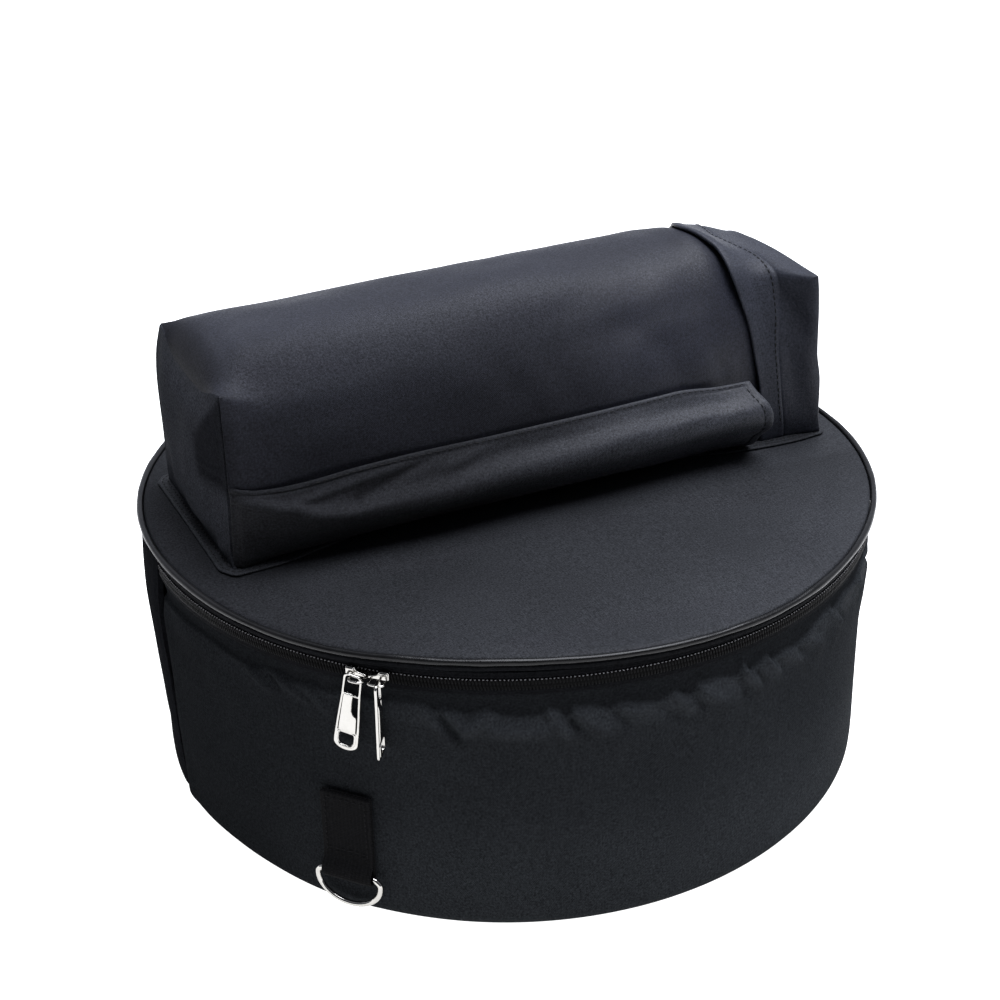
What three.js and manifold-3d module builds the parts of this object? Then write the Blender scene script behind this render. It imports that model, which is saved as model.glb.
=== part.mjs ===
// A round padded drum bag: base, side wall, hinge panel, zipped lid and a long
// accessory pocket on the lid.  Millimetres, +Z up, the base rests on Z = 0.
// The pocket runs along X, its hemmed front faces -Y.  Azimuths are in degrees
// from +X, anticlockwise seen from above.
import * as THREE from "three";
import { mergeVertices } from "three/addons/utils/BufferGeometryUtils.js";
import Module from "manifold-3d";

const wasm = await Module();
wasm.setup();

// ---- driving dimensions ----------------------------------------------------
const RIM_Z = 148;            // height of the lid's piping above the floor
const STEPS = 60;             // facets round the whole bag, so 6 degrees each
const GAP = 0.3;              // clearance between neighbouring pieces

const LID_R = 187.0, LID_UNDER = -4.6, LID_CROWN = 1.6, LID_EDGE = 1.0;
const PIPE_R = 188.9, PIPE_WIRE = 1.6;
const SEAM_A = -180, SEAM_B = 90;        // ends of the zip: azimuths of the two upright seams
const TAPE_R = 186.4, TAPE_T = 0.9;
const COIL_R = 187.1, COIL_Z = -10.4, COIL_H = 4.4, COIL_T = 1.8;
const WALL_T = 5.5, HINGE_T = 3.0;
const BASE_R = 176.2, BASE_T = 5.0;
const CLOTH_T = 2.0;                     // pocket cloth, doubled at its hems
const FLANGE_T = 1.4;

const WEB_AZ = -139.2, WEB_W = 24.5, WEB_T = 1.6, WEB_BACK = 187.65;
const WEB_TOP = -78.3, WEB_STITCH = -112, BAR_Z = -121.5;
const RING_WIRE = 1.5, RING_HALF = 16.9, RING_DROP = 17.5;
const LOOP_HOLE = 2.0;

const SLIDER_AZ = { left: -136.25, right: -133.15 };
const SLIDER_Z = -9.4, SLIDER_IN = 188.4;
const BRIDGE_OUT = 194.9, BRIDGE_WIRE = 0.65, BRIDGE_Z = -11.1;
const BRIDGE_LEGS = { left: [-1.9, 4.6], right: [-3.2, 4.1] };

// ---- small helpers -----------------------------------------------------------
const rad = (d) => d * Math.PI / 180;
const mix = (a, b, t) => a + (b - a) * t;
const clamp = (v, a, b) => Math.min(b, Math.max(a, v));
const smooth = (a, b, v) => { const t = clamp((v - a) / (b - a), 0, 1); return t * t * (3 - 2 * t); };
const V = (x, y, z) => new THREE.Vector3(x, y, z);
const onRing = (az, r, z) => V(r * Math.cos(rad(az)), r * Math.sin(rad(az)), z);

// Reads a table {columns, rows} at a position in its first column.
function lookup(table, at) {
  const { columns, rows } = table;
  let k = 0;
  while (k < rows.length - 2 && at > rows[k + 1][0]) k++;
  const t = smooth(rows[k][0], rows[k + 1][0], at);
  const out = {};
  columns.forEach((name, c) => { out[name] = mix(rows[k][c], rows[k + 1][c], t); });
  return out;
}

// Closed geometry out of vertices and triangles, with its faces turned outward.
function solidFrom(points, tris) {
  let volume = 0;
  for (const [a, b, c] of tris) volume += points[a].dot(V(0, 0, 0).crossVectors(points[b], points[c]));
  const order = volume < 0 ? ([a, b, c]) => [a, c, b] : (t) => t;
  const geometry = new THREE.BufferGeometry();
  geometry.setAttribute("position", new THREE.Float32BufferAttribute(points.flatMap((p) => [p.x, p.y, p.z]), 3));
  geometry.setIndex(tris.flatMap(order));
  geometry.computeVertexNormals();
  return geometry;
}

// A cloth panel: a grid of points on its middle surface, thickened both ways.
// loop joins the last row of the grid to the first.
function sheet(grid, thickness, loop = false) {
  const rows = grid.length, cols = grid[0].length;
  const at = (i, j) => grid[loop ? (i + rows) % rows : clamp(i, 0, rows - 1)][clamp(j, 0, cols - 1)];
  const points = [];
  for (const side of [0.5, -0.5]) {
    for (let i = 0; i < rows; i++) {
      for (let j = 0; j < cols; j++) {
        const along = at(i + 1, j).clone().sub(at(i - 1, j));
        const across = at(i, j + 1).clone().sub(at(i, j - 1));
        const normal = along.cross(across).normalize();
        const t = typeof thickness === "function" ? thickness(i, j) : thickness;
        points.push(at(i, j).clone().addScaledVector(normal, side * t));
      }
    }
  }
  const id = (side, i, j) => side * rows * cols + (i % rows) * cols + j;
  const tris = [];
  const quad = (a, b, c, d) => tris.push([a, b, c], [a, c, d]);
  const last = loop ? rows : rows - 1;
  for (let i = 0; i < last; i++) {
    for (let j = 0; j < cols - 1; j++) {
      quad(id(0, i, j), id(0, i + 1, j), id(0, i + 1, j + 1), id(0, i, j + 1));
      quad(id(1, i, j), id(1, i, j + 1), id(1, i + 1, j + 1), id(1, i + 1, j));
    }
    for (const [j, flip] of [[0, true], [cols - 1, false]]) {
      const q = [id(0, i, j), id(0, i + 1, j), id(1, i + 1, j), id(1, i, j)];
      flip ? quad(q[3], q[2], q[1], q[0]) : quad(...q);
    }
  }
  if (!loop) {
    for (let j = 0; j < cols - 1; j++) {
      for (const [i, flip] of [[0, false], [rows - 1, true]]) {
        const q = [id(0, i, j), id(0, i, j + 1), id(1, i, j + 1), id(1, i, j)];
        flip ? quad(q[3], q[2], q[1], q[0]) : quad(...q);
      }
    }
  }
  return solidFrom(points, tris);
}

// A closed section in (radius, height) carried round the bag between two azimuths.
function ringBar(section, from, to, shift = () => 0) {
  const whole = to - from >= 360;
  const count = Math.round((to - from) / (360 / STEPS));
  const n = section.length, rings = whole ? count : count + 1;
  const points = [];
  for (let i = 0; i < rings; i++) {
    const az = from + (to - from) * i / count;
    for (const [r, z] of section) points.push(onRing(az, r, z + shift(az)));
  }
  const tris = [];
  for (let i = 0; i < count; i++) {
    for (let j = 0; j < n; j++) {
      const a = i * n + j, b = i * n + (j + 1) % n;
      const c = ((i + 1) % rings) * n + (j + 1) % n, d = ((i + 1) % rings) * n + j;
      tris.push([a, d, c], [a, c, b]);
    }
  }
  if (!whole) {
    const flat = section.map(([r, z]) => new THREE.Vector2(r, z));
    const caps = THREE.ShapeUtils.triangulateShape(flat, []);
    const end = count * n;
    for (const [a, b, c] of caps) {
      tris.push([a, b, c], [end + c, end + b, end + a]);
    }
  }
  return solidFrom(points, tris);
}

// A round wire along a planar or bent run of points; closed joins its ends.
function wire(path, radius, sides, closed) {
  const n = path.length;
  const points = [];
  const fixed = path.binormal;
  for (let i = 0; i < n; i++) {
    const before = path[closed ? (i + n - 1) % n : Math.max(i - 1, 0)];
    const after = path[closed ? (i + 1) % n : Math.min(i + 1, n - 1)];
    const tangent = after.clone().sub(before).normalize();
    const side = fixed.clone().cross(tangent).normalize();
    for (let s = 0; s < sides; s++) {
      const a = 2 * Math.PI * (s + 0.5) / sides;
      points.push(path[i].clone().addScaledVector(side, radius * Math.cos(a)).addScaledVector(fixed, radius * Math.sin(a)));
    }
  }
  const tris = [];
  const last = closed ? n : n - 1;
  for (let i = 0; i < last; i++) {
    for (let s = 0; s < sides; s++) {
      const a = i * sides + s, b = i * sides + (s + 1) % sides;
      const c = ((i + 1) % n) * sides + (s + 1) % sides, d = ((i + 1) % n) * sides + s;
      tris.push([a, d, c], [a, c, b]);
    }
  }
  if (!closed) {
    for (let s = 1; s < sides - 1; s++) {
      tris.push([0, s, s + 1], [(n - 1) * sides, (n - 1) * sides + s + 1, (n - 1) * sides + s]);
    }
  }
  return solidFrom(points, tris);
}

function toManifold(geometry) {
  const bare = geometry.clone();
  bare.deleteAttribute("normal");
  bare.deleteAttribute("uv");
  const merged = mergeVertices(bare, 1e-4);
  return new wasm.Manifold(new wasm.Mesh({
    numProp: 3,
    vertProperties: new Float32Array(merged.attributes.position.array),
    triVerts: new Uint32Array(merged.index.array),
  }));
}

function fromManifold(manifold) {
  const mesh = manifold.getMesh();
  const geometry = new THREE.BufferGeometry();
  geometry.setAttribute("position", new THREE.BufferAttribute(new Float32Array(mesh.vertProperties), 3));
  geometry.setIndex(new THREE.BufferAttribute(new Uint32Array(mesh.triVerts), 1));
  geometry.computeVertexNormals();
  return geometry;
}

const join = (...geometries) => fromManifold(geometries.map(toManifold).reduce((a, b) => a.add(b)));
const cut = (body, ...tools) => fromManifold(tools.map(toManifold).reduce((a, b) => a.subtract(b), toManifold(body)));

// A straight prism of an outline, its depth centred on the outline's plane.
function prism(outline, depth) {
  const shape = new THREE.Shape(outline.map(([x, y]) => new THREE.Vector2(x, y)));
  const geometry = new THREE.ExtrudeGeometry(shape, { depth, bevelEnabled: false });
  return geometry.translate(0, 0, -depth / 2);
}

// ---- materials -----------------------------------------------------------------
const cloth = (color, roughness = 0.82) => new THREE.MeshStandardMaterial({ color, roughness, metalness: 0 });
const BLACK_CLOTH = () => cloth(0x17181c);
const BLACK_PAD = () => cloth(0x141519);
const BLACK_TAPE = () => cloth(0x0d0d0f, 0.9);
const BLACK_WEB = () => cloth(0x101013, 0.9);
const GLOSS_PIPE = () => new THREE.MeshStandardMaterial({ color: 0x0b0b0d, roughness: 0.28, metalness: 0 });
const COIL_PLASTIC = () => new THREE.MeshStandardMaterial({ color: 0x0e0e10, roughness: 0.4, metalness: 0 });
const NICKEL = () => new THREE.MeshStandardMaterial({ color: 0xd6d4cf, roughness: 0.18, metalness: 1 });

const bag = new THREE.Group();
const lid = new THREE.Group();          // everything from here is measured from the rim's plane
lid.position.z = RIM_Z;
bag.add(lid);

function add(group, name, geometry, material) {
  const mesh = new THREE.Mesh(geometry, material);
  mesh.name = name;
  group.add(mesh);
  return mesh;
}

// ---- lid, piping and base ------------------------------------------------------
// The soft rim waves a little up and down between the zip's two ends.
const RIM_WAVE = {
  columns: ["az", "dz"],
  rows: [[-360, 0], [-215, 0], [-181, 0.8], [-146, -1.6], [-118, 1.6], [-76, -1.5], [-50, 0.2], [0, 0], [360, 0]],
};
const rimWave = (az) => lookup(RIM_WAVE, az > 145 ? az - 360 : az).dz;
const lidTop = (r) => LID_EDGE + LID_CROWN * (1 - (r / LID_R) ** 2);
const waveAt = (x, y) => rimWave(THREE.MathUtils.radToDeg(Math.atan2(y, x))) * smooth(150, LID_R, Math.hypot(x, y));

{
  const profile = [
    [0, LID_UNDER], [LID_R - 1.2, LID_UNDER], [LID_R, LID_UNDER + 1.2], [LID_R, 0.0],
    [LID_R - 1.4, lidTop(LID_R)], [LID_R - 22, lidTop(LID_R - 22)], [LID_R * 0.6, lidTop(LID_R * 0.6)], [0, lidTop(0)],
  ];
  const geometry = new THREE.LatheGeometry(profile.map(([r, z]) => new THREE.Vector2(r, z)), STEPS);
  geometry.rotateX(Math.PI / 2);        // the lathe turns about Y, the bag stands on Z
  geometry.deleteAttribute("normal");
  geometry.deleteAttribute("uv");
  const disc = mergeVertices(geometry, 1e-3);
  const p = disc.attributes.position;
  for (let i = 0; i < p.count; i++) {
    p.setZ(i, p.getZ(i) + waveAt(p.getX(i), p.getY(i)));
  }
  disc.computeVertexNormals();
  add(lid, "lid_panel", disc, BLACK_CLOTH());
}

{
  // bead with the sewn flange under it
  const inner = LID_R + GAP;
  const section = [
    [inner, 0.9], [PIPE_R - 0.3, PIPE_WIRE], [PIPE_R + 1.0, 1.15], [PIPE_R + PIPE_WIRE, 0],
    [PIPE_R + 1.1, -1.3], [PIPE_R + 0.5, -1.9], [PIPE_R + 0.7, -3.6], [PIPE_R + 0.2, -4.6], [inner, -4.6],
  ];
  add(lid, "lid_piping", ringBar(section, -180, 180, rimWave), GLOSS_PIPE());
}

{
  const profile = [[0, 0], [BASE_R - 2, 0], [BASE_R, 1.2], [BASE_R, BASE_T - 0.6], [BASE_R - 0.8, BASE_T], [0, BASE_T]];
  const geometry = new THREE.LatheGeometry(profile.map(([r, z]) => new THREE.Vector2(r, z)), STEPS);
  geometry.rotateX(Math.PI / 2);
  add(bag, "base_panel", geometry, BLACK_PAD());
}

// ---- zip: tapes and coil, three quarters of the way round ----------------------
const ZIP_A = SEAM_A + 0.1, ZIP_B = SEAM_B - 0.1;
const bar = (r0, r1, z0, z1) => [[r0, z0], [r1, z0], [r1, z1], [r0, z1]];
add(lid, "zip_tape_upper", ringBar(bar(TAPE_R, TAPE_R + TAPE_T, COIL_Z + COIL_H / 2 + 0.3, -6.6), ZIP_A, ZIP_B), BLACK_TAPE());
add(lid, "zip_coil", ringBar([
  [COIL_R - 1.0, COIL_Z - COIL_H / 2], [COIL_R + 0.5, COIL_Z - COIL_H / 2], [COIL_R + 0.9, COIL_Z - 1.2],
  [COIL_R + 0.9, COIL_Z + 1.2], [COIL_R + 0.5, COIL_Z + COIL_H / 2], [COIL_R - 1.0, COIL_Z + COIL_H / 2],
], ZIP_A, ZIP_B), COIL_PLASTIC());
add(lid, "zip_tape_lower", ringBar(bar(TAPE_R, TAPE_R + TAPE_T, -15.2, COIL_Z - COIL_H / 2 - 0.3), ZIP_A, ZIP_B), BLACK_TAPE());

// ---- side wall and hinge panel -----------------------------------------------------
// Outer outline from the zip's lower tape down to the base: height below the rim, radius.
const WALL_OUTLINE = {
  columns: ["down", "radius", "puckered"],
  rows: [
    [15.7, 187.0, 0.0], [21.0, 186.2, 0.2], [26.0, 186.6, 1.0], [30.0, 188.1, 1.0], [37.0, 188.3, 0.6], [47.0, 187.9, 0.2],
    [64.0, 187.3, 0.0], [100.0, 187.2, 0.0], [134.0, 187.2, 0.0], [141.5, 185.6, 0.0], [145.6, 182.0, 0.0], [146.9, 178.9, 0.0],
  ],
};
// How far the padded edge is drawn in, and how far it is raised, along the zip.
const PUCKERS = {
  columns: ["az", "inward", "lift"],
  rows: [
    [-180, 0.4, 3.0], [-162, 0.2, 2.0], [-150, 0.8, 1.2], [-138, 0.0, 1.8], [-132, 1.5, 2.4], [-126, 0.2, 0.8], [-120, 1.2, 1.2],
    [-114, 0.0, -1.0], [-108, 0.3, -1.6], [-102, 1.4, -0.4], [-96, 0.1, -1.4], [-90, 0.4, -2.0], [-84, 1.5, -0.8],
    [-78, 0.0, -2.2], [-72, 0.2, -1.0], [-66, 1.4, 1.0], [-60, 0.1, 2.4], [-48, 0.9, 3.0], [-36, 0.1, 2.0],
    [-24, 0.8, 1.2], [-12, 0.2, 2.2], [0, 0.9, 1.4], [12, 0.1, 2.2], [24, 0.8, 1.6], [36, 0.1, 2.4], [48, 0.9, 1.8],
    [60, 0.1, 2.4], [72, 0.8, 2.0], [84, 0.1, 2.6], [90, 0.4, 3.0],
  ],
};
function upright(outline, from, to, thickness, fold) {
  const step = 360 / STEPS, start = Math.round(from / step) * step;
  const count = Math.round((to - from) / step);
  const grid = [];
  for (let i = 0; i <= count; i++) {
    const az = clamp(start + step * i, from, to);
    const { inward, lift } = fold(az);
    const outer = outline.rows.map(([down, radius, puckered]) =>
      new THREE.Vector2(radius - inward * puckered, -down + lift * puckered));
    grid.push(outer.map((p, k) => {
      const run = outer[Math.min(k + 1, outer.length - 1)].clone().sub(outer[Math.max(k - 1, 0)]).normalize();
      const [r, z] = [p.x + run.y * thickness / 2, p.y - run.x * thickness / 2];   // half the thickness inward
      return onRing(az, r, z);
    }));
  }
  return sheet(grid, thickness);
}
add(lid, "side_wall", upright(WALL_OUTLINE, SEAM_A + 0.15, SEAM_B - 0.15, WALL_T, (az) => lookup(PUCKERS, az)), BLACK_PAD());

// The hinge panel is plainer cloth that hangs from the piping to the base.
const HINGE_OUTLINE = {
  columns: ["down", "radius", "puckered"],
  rows: [
    [5.2, 188.4, 0], [14, 189.4, 0], [30, 190.2, 0.6], [50, 190.2, 1.0], [75, 188.9, 0.8], [104, 187.6, 0.4],
    [134, 187.2, 0], [141.5, 185.6, 0], [145.6, 182.0, 0], [146.9, 178.9, 0],
  ],
};
add(lid, "hinge_panel", upright(HINGE_OUTLINE, SEAM_B + 0.15, SEAM_A + 360 - 0.15, HINGE_T, (az) => ({
  inward: 0.8 + 0.8 * Math.cos(rad(az * 10)), lift: 0,
})), BLACK_CLOTH());

// ---- pocket on the lid ----------------------------------------------------------------
const pocket = new THREE.Group();
lid.add(pocket);
const PANEL_LEFT = -159.4, PANEL_RIGHT = 148;
// The pocket's cloth ends just above the flange that lies on the lid.
const footZ = (x, y) => lidTop(Math.hypot(x, y)) + Math.max(0, waveAt(x, y)) + FLANGE_T + 2 * GAP + 0.1;
// Cross-sections of the pocket cloth: front low edge, front at the lip's hem, front
// shoulder, top, back shoulder, back, back foot.
const PANEL_SECTIONS = {
  columns: ["x", "yLow", "yHem", "yShoulder", "zShoulder", "yTop", "zTop", "yBackShoulder", "zBackShoulder", "yBack"],
  rows: [
    [-159.4, -41.0, -44.5, -43.0, 85.0, 0, 96.0, 48.5, 93.8, 65.5],
    [-140.0, -40.0, -45.0, -42.0, 83.0, 4, 101.3, 48.5, 95.5, 66.0],
    [-90.0, -37.0, -45.0, -40.0, 79.0, 8, 104.0, 48.5, 96.5, 66.5],
    [-20.0, -34.0, -44.6, -37.5, 77.0, 10, 105.4, 48, 98, 66.5],
    [40.0, -34.0, -43.8, -34.5, 76.0, 12, 106.2, 48, 98.5, 66.5],
    [95.0, -35.0, -41.5, -31.0, 76.0, 14, 106.6, 48, 98.5, 66.0],
    [111.0, -35.0, -36.5, -25.5, 74.0, 15, 107.2, 46, 98, 65.0],
    [122.0, -35.0, -31.5, -21.0, 72.0, 15, 103.8, 45, 95, 64.0],
    [148.0, -34.0, -30.0, -20.0, 72.0, 15, 94.0, 42, 88, 61.5],
  ],
};
const LOW_Z = 11, HEM_Z = 46;
function sectionCurve(points, samples) {
  const curve = new THREE.CatmullRomCurve3(points.map(([y, z]) => V(0, y, z)), false, "centripetal");
  return curve.getSpacedPoints(samples).map((p) => [p.y, p.z]);
}
function panelSection(x, samples) {
  const s = lookup(PANEL_SECTIONS, x);
  return sectionCurve([
    [s.yLow, LOW_Z], [s.yHem, HEM_Z], [s.yShoulder, s.zShoulder], [mix(s.yShoulder, s.yTop, 0.45), mix(s.zShoulder, s.zTop, 0.8)],
    [s.yTop, s.zTop], [s.yBackShoulder, s.zBackShoulder], [s.yBack, 66], [s.yBack + 0.5, 30], [s.yBack + 0.3, footZ(x, s.yBack)],
  ], samples);
}
{
  const xs = [PANEL_LEFT, -148, -126, -96, -64, -30, 4, 38, 70, 96, 110, 120, 131, PANEL_RIGHT];
  add(pocket, "pocket_main_panel", sheet(xs.map((x) => panelSection(x, 20).map(([y, z]) => V(x, y, z))), CLOTH_T), BLACK_CLOTH());
}

// Left end: a flat gusset, its cloth a little full.
const topEdge = (corner, rows) => (u) => {
  const curve = new THREE.CatmullRomCurve3([corner, ...rows].map(([y, z]) => V(0, y, z)), false, "centripetal");
  const p = curve.getPoint(u);
  return [p.y, p.z];
};
function gusset(top, footFront, footBack, place, cols, levels) {
  const grid = [];
  for (let i = 0; i <= cols; i++) {
    const u = i / cols, [yTop, zTop] = top(u);
    const yFoot = mix(footFront, footBack, u);
    const column = [];
    for (let j = 0; j <= levels; j++) {
      const v = j / levels;
      const y = mix(yFoot, yTop, v ** 1.3), z = mix(footZ(165, yFoot), zTop, v);
      column.push(V(place(y, z, u, v), y, z));
    }
    grid.push(column);
  }
  return sheet(grid, CLOTH_T);
}
{
  const top = topEdge([-46.5, 90.5], [[-22, 94.4], [4, 97.2], [30, 97.0], [50, 94.4], [60, 82], [66.5, 62]]);
  add(pocket, "pocket_end_left", gusset(top, -41.5, 67.0, (y, z, u, v) => {
    const bulge = Math.sin(Math.PI * u) * Math.sin(Math.PI * v);
    return -161.0 - 1.8 * bulge;
  }, 10, 6), BLACK_CLOTH());
}

// Right end: gusset leaning out at its foot, and the hemmed cuff that wraps over the panel.
const RIGHT_END = { columns: ["z", "x"], rows: [[0, 168], [14, 165.2], [36, 163.0], [52, 159.6], [74, 158.2], [95, 157]] };
const rightX = (z) => lookup(RIGHT_END, clamp(z, 0, 95)).x;
{
  const top = topEdge([-47, 93], [[-20, 95.2], [16, 95.6], [42, 92.8], [58, 80.5], [66.5, 62]]);
  add(pocket, "pocket_end_right", gusset(top, -42.0, 67.0, (y, z, u, v) => {
    const bulge = Math.sin(Math.PI * u) * Math.sin(Math.PI * v);
    return rightX(z) + 1.4 * bulge;
  }, 10, 6), BLACK_CLOTH());
}
const CUFF_SECTIONS = {
  columns: ["u", "yFoot", "yLow", "yHem", "yShoulder", "zShoulder", "yBend", "zBend", "yTop", "zTop", "yBackShoulder", "zBackShoulder", "yBack"],
  rows: [
    [0.00, -42, -40, -35.2, -27.5, 75.0, -18, 99.0, 8, 111.0, 46, 102, 68.5],
    [0.25, -42, -41, -35.6, -27.0, 76.0, -18, 97.0, 10, 108.0, 47, 100, 68.5],
    [0.55, -42, -42, -37.8, -30.0, 77.0, -20, 92.5, 14, 103.2, 48, 97, 68.0],
    [1.00, -41.5, -43, -45.0, -46.0, 82.0, -44, 92.0, 16, 95.2, 43, 92, 66.5],
  ],
};
// The hem leans: how far along X it lies, going round the section from the front foot.
const CUFF_HEM = {
  columns: ["s", "x"],
  rows: [[0, 133.5], [0.10, 131.8], [0.18, 129.0], [0.27, 125.6], [0.36, 120.5], [0.42, 118.5], [0.47, 114.5], [0.54, 111.5], [0.66, 112.5], [0.80, 119], [1, 127]],
};
{
  const grid = [];
  for (const u of [0, 0.25, 0.55, 0.78, 1]) {
    const s = lookup(CUFF_SECTIONS, u);
    const line = sectionCurve([
      [s.yFoot, footZ(140, s.yFoot)], [s.yLow, 18], [s.yHem, HEM_Z], [s.yShoulder, s.zShoulder], [s.yBend, s.zBend],
      [s.yTop, s.zTop], [s.yBackShoulder, s.zBackShoulder], [s.yBack, 66], [s.yBack + 0.3, 30], [s.yBack + 0.3, footZ(140, s.yBack)],
    ], 22);
    grid.push(line.map(([y, z], i) => V(mix(lookup(CUFF_HEM, i / (line.length - 1)).x, rightX(z) - 2.0, u), y, z)));
  }
  add(pocket, "pocket_cuff", sheet(grid, CLOTH_T), BLACK_CLOTH());
}

// Front lip: a strip sewn down at its foot, rolled out like a bolster and hemmed on top.
const LIP_SECTIONS = {
  columns: ["x", "yFoot", "yUnder", "zUnder", "yBelly", "zBelly", "yCrest", "zCrest", "yTop", "zTop"],
  rows: [
    [-158.5, -43.0, -45.0, 14, -47.2, 28, -47.6, 38, -47.6, 47.5],
    [-146.0, -41.0, -47.0, 14, -50.0, 27, -50.5, 37, -48.0, 47.0],
    [-124.0, -36.0, -50.0, 14, -55.0, 26, -55.0, 36, -48.4, 46.5],
    [-90.0, -29.0, -51.0, 15, -58.0, 26, -57.5, 36, -48.6, 47.0],
    [-30.0, -23.0, -52.0, 15, -60.0, 26, -58.5, 36, -48.4, 48.0],
    [40.0, -24.0, -52.0, 15, -60.0, 26, -58.5, 36, -48.0, 48.0],
    [90.0, -32.0, -51.0, 14, -59.0, 25, -58.0, 36, -47.2, 47.0],
    [121.0, -36.0, -50.0, 13, -58.5, 24, -57.5, 34, -46.6, 45.0],
  ],
};
{
  const xs = [-158.5, -150, -138, -120, -98, -70, -36, 0, 36, 66, 92, 110, 121];
  const grid = xs.map((x) => {
    const s = lookup(LIP_SECTIONS, x);
    const line = sectionCurve([
      [s.yFoot, footZ(x, s.yFoot) + 0.8], [mix(s.yFoot, s.yUnder, 0.55), 7.5], [s.yUnder, s.zUnder], [s.yBelly, s.zBelly],
      [s.yCrest, s.zCrest], [s.yTop, s.zTop],
    ], 9);
    return line.map(([y, z]) => V(x + (x > 100 ? 3.5 * smooth(47, 24, z) * smooth(100, 121, x) : 0), y, z));
  });
  add(pocket, "pocket_front_lip", sheet(grid, CLOTH_T), BLACK_CLOTH());
}

// Narrow sewn flange on the lid all round the pocket's foot.
{
  const FLANGE = {
    columns: ["x", "yFront"],
    rows: [[-168, -46], [-141, -45.5], [-119, -40.5], [-90, -33.5], [-50, -28.5], [60, -28.5], [92, -36.5], [115, -42.5], [150, -45.0], [173, -43]],
  };
  const LEFT = -167.6, RIGHT = 173.2, BACK = 74.0, WIDE = 6.2;
  const outer = [], front = [LEFT + 5, -152, -141, -130, -119, -104, -90, -70, -50, -20, 20, 60, 76, 92, 104, 115, 132, 150, RIGHT - 4];
  for (const x of front) outer.push([x, lookup(FLANGE, x).yFront]);
  for (const y of [-38, 0, 40, 66]) outer.push([RIGHT - (y > 60 ? 3 : 0), y]);
  for (const x of [162, 110, 40, -40, -110, -160]) outer.push([x, BACK - (x > 150 ? 4 : 0)]);
  for (const y of [66, 36, 0, -38]) outer.push([LEFT, y]);
  const n = outer.length;
  const grid = outer.map(([x, y], i) => {
    const [bx, by] = outer[(i + n - 1) % n], [ax, ay] = outer[(i + 1) % n];
    const along = new THREE.Vector2(ax - bx, ay - by).normalize();
    const column = [];
    for (const w of [WIDE, 0]) {
      const px = x - along.y * w, py = y + along.x * w;
      column.push(V(px, py, lidTop(Math.hypot(px, py)) + Math.max(0, waveAt(px, py)) + GAP + FLANGE_T / 2));
    }
    return column;
  });
  add(pocket, "pocket_base_flange", sheet(grid, FLANGE_T, true), BLACK_CLOTH());
}

// ---- webbing tab and D-ring low on the wall --------------------------------------------
// A holder's local axes: x outward from the bag's axis, y along the wall, z up.
function holder(az, parent = lid) {
  const group = new THREE.Group();
  group.rotation.z = rad(az);
  parent.add(group);
  return group;
}
const BAR_X = WEB_BACK + WEB_T + 0.35 + RING_WIRE;
{
  const outer = LOOP_HOLE + WEB_T - 0.1, front = WEB_BACK + 2 * WEB_T;
  const outline = [[WEB_BACK, WEB_TOP]];
  const turns = 10;
  for (let k = 0; k <= turns; k++) {
    const a = Math.PI + Math.PI * k / turns;
    outline.push([Math.max(WEB_BACK, BAR_X + outer * Math.cos(a)), BAR_Z + outer * Math.sin(a)]);
  }
  outline.push([BAR_X + outer * 0.86, BAR_Z + 2.6], [front + 0.4, WEB_STITCH - 0.5], [front, WEB_STITCH + 3],
    [front, WEB_TOP + 0.5], [front - 0.4, WEB_TOP]);
  const sides = 12, hole = [];
  for (let k = 0; k < sides; k++) {
    const a = 2 * Math.PI * k / sides;
    hole.push([BAR_X + LOOP_HOLE * Math.cos(a), BAR_Z + LOOP_HOLE * Math.sin(a)]);
  }
  const geometry = cut(prism(outline, WEB_W), prism(hole, WEB_W + 2));
  geometry.rotateX(Math.PI / 2);        // outline's second axis becomes z, depth runs along y
  add(holder(WEB_AZ), "d_ring_tab", geometry, BLACK_WEB());
}
{
  // D outline in the y-z plane: straight bar on top, bow below
  const path = [];
  const corner = 3.2, bow = 22;
  for (let k = -2; k <= 2; k++) path.push(V(BAR_X, k * (RING_HALF - corner) / 2, BAR_Z));
  for (let k = 1; k < bow; k++) {
    const a = Math.PI * k / bow;
    const squash = k < 3 || k > bow - 3 ? 0.97 : 1;
    path.push(V(BAR_X, RING_HALF * Math.cos(a) ** 1 * squash * 1, BAR_Z - 1.6 - (RING_DROP - 1.6) * Math.sin(a) ** 0.92));
  }
  path.binormal = V(1, 0, 0);
  add(holder(WEB_AZ), "d_ring", wire(path, RING_WIRE, 8, true), NICKEL());
}

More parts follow.
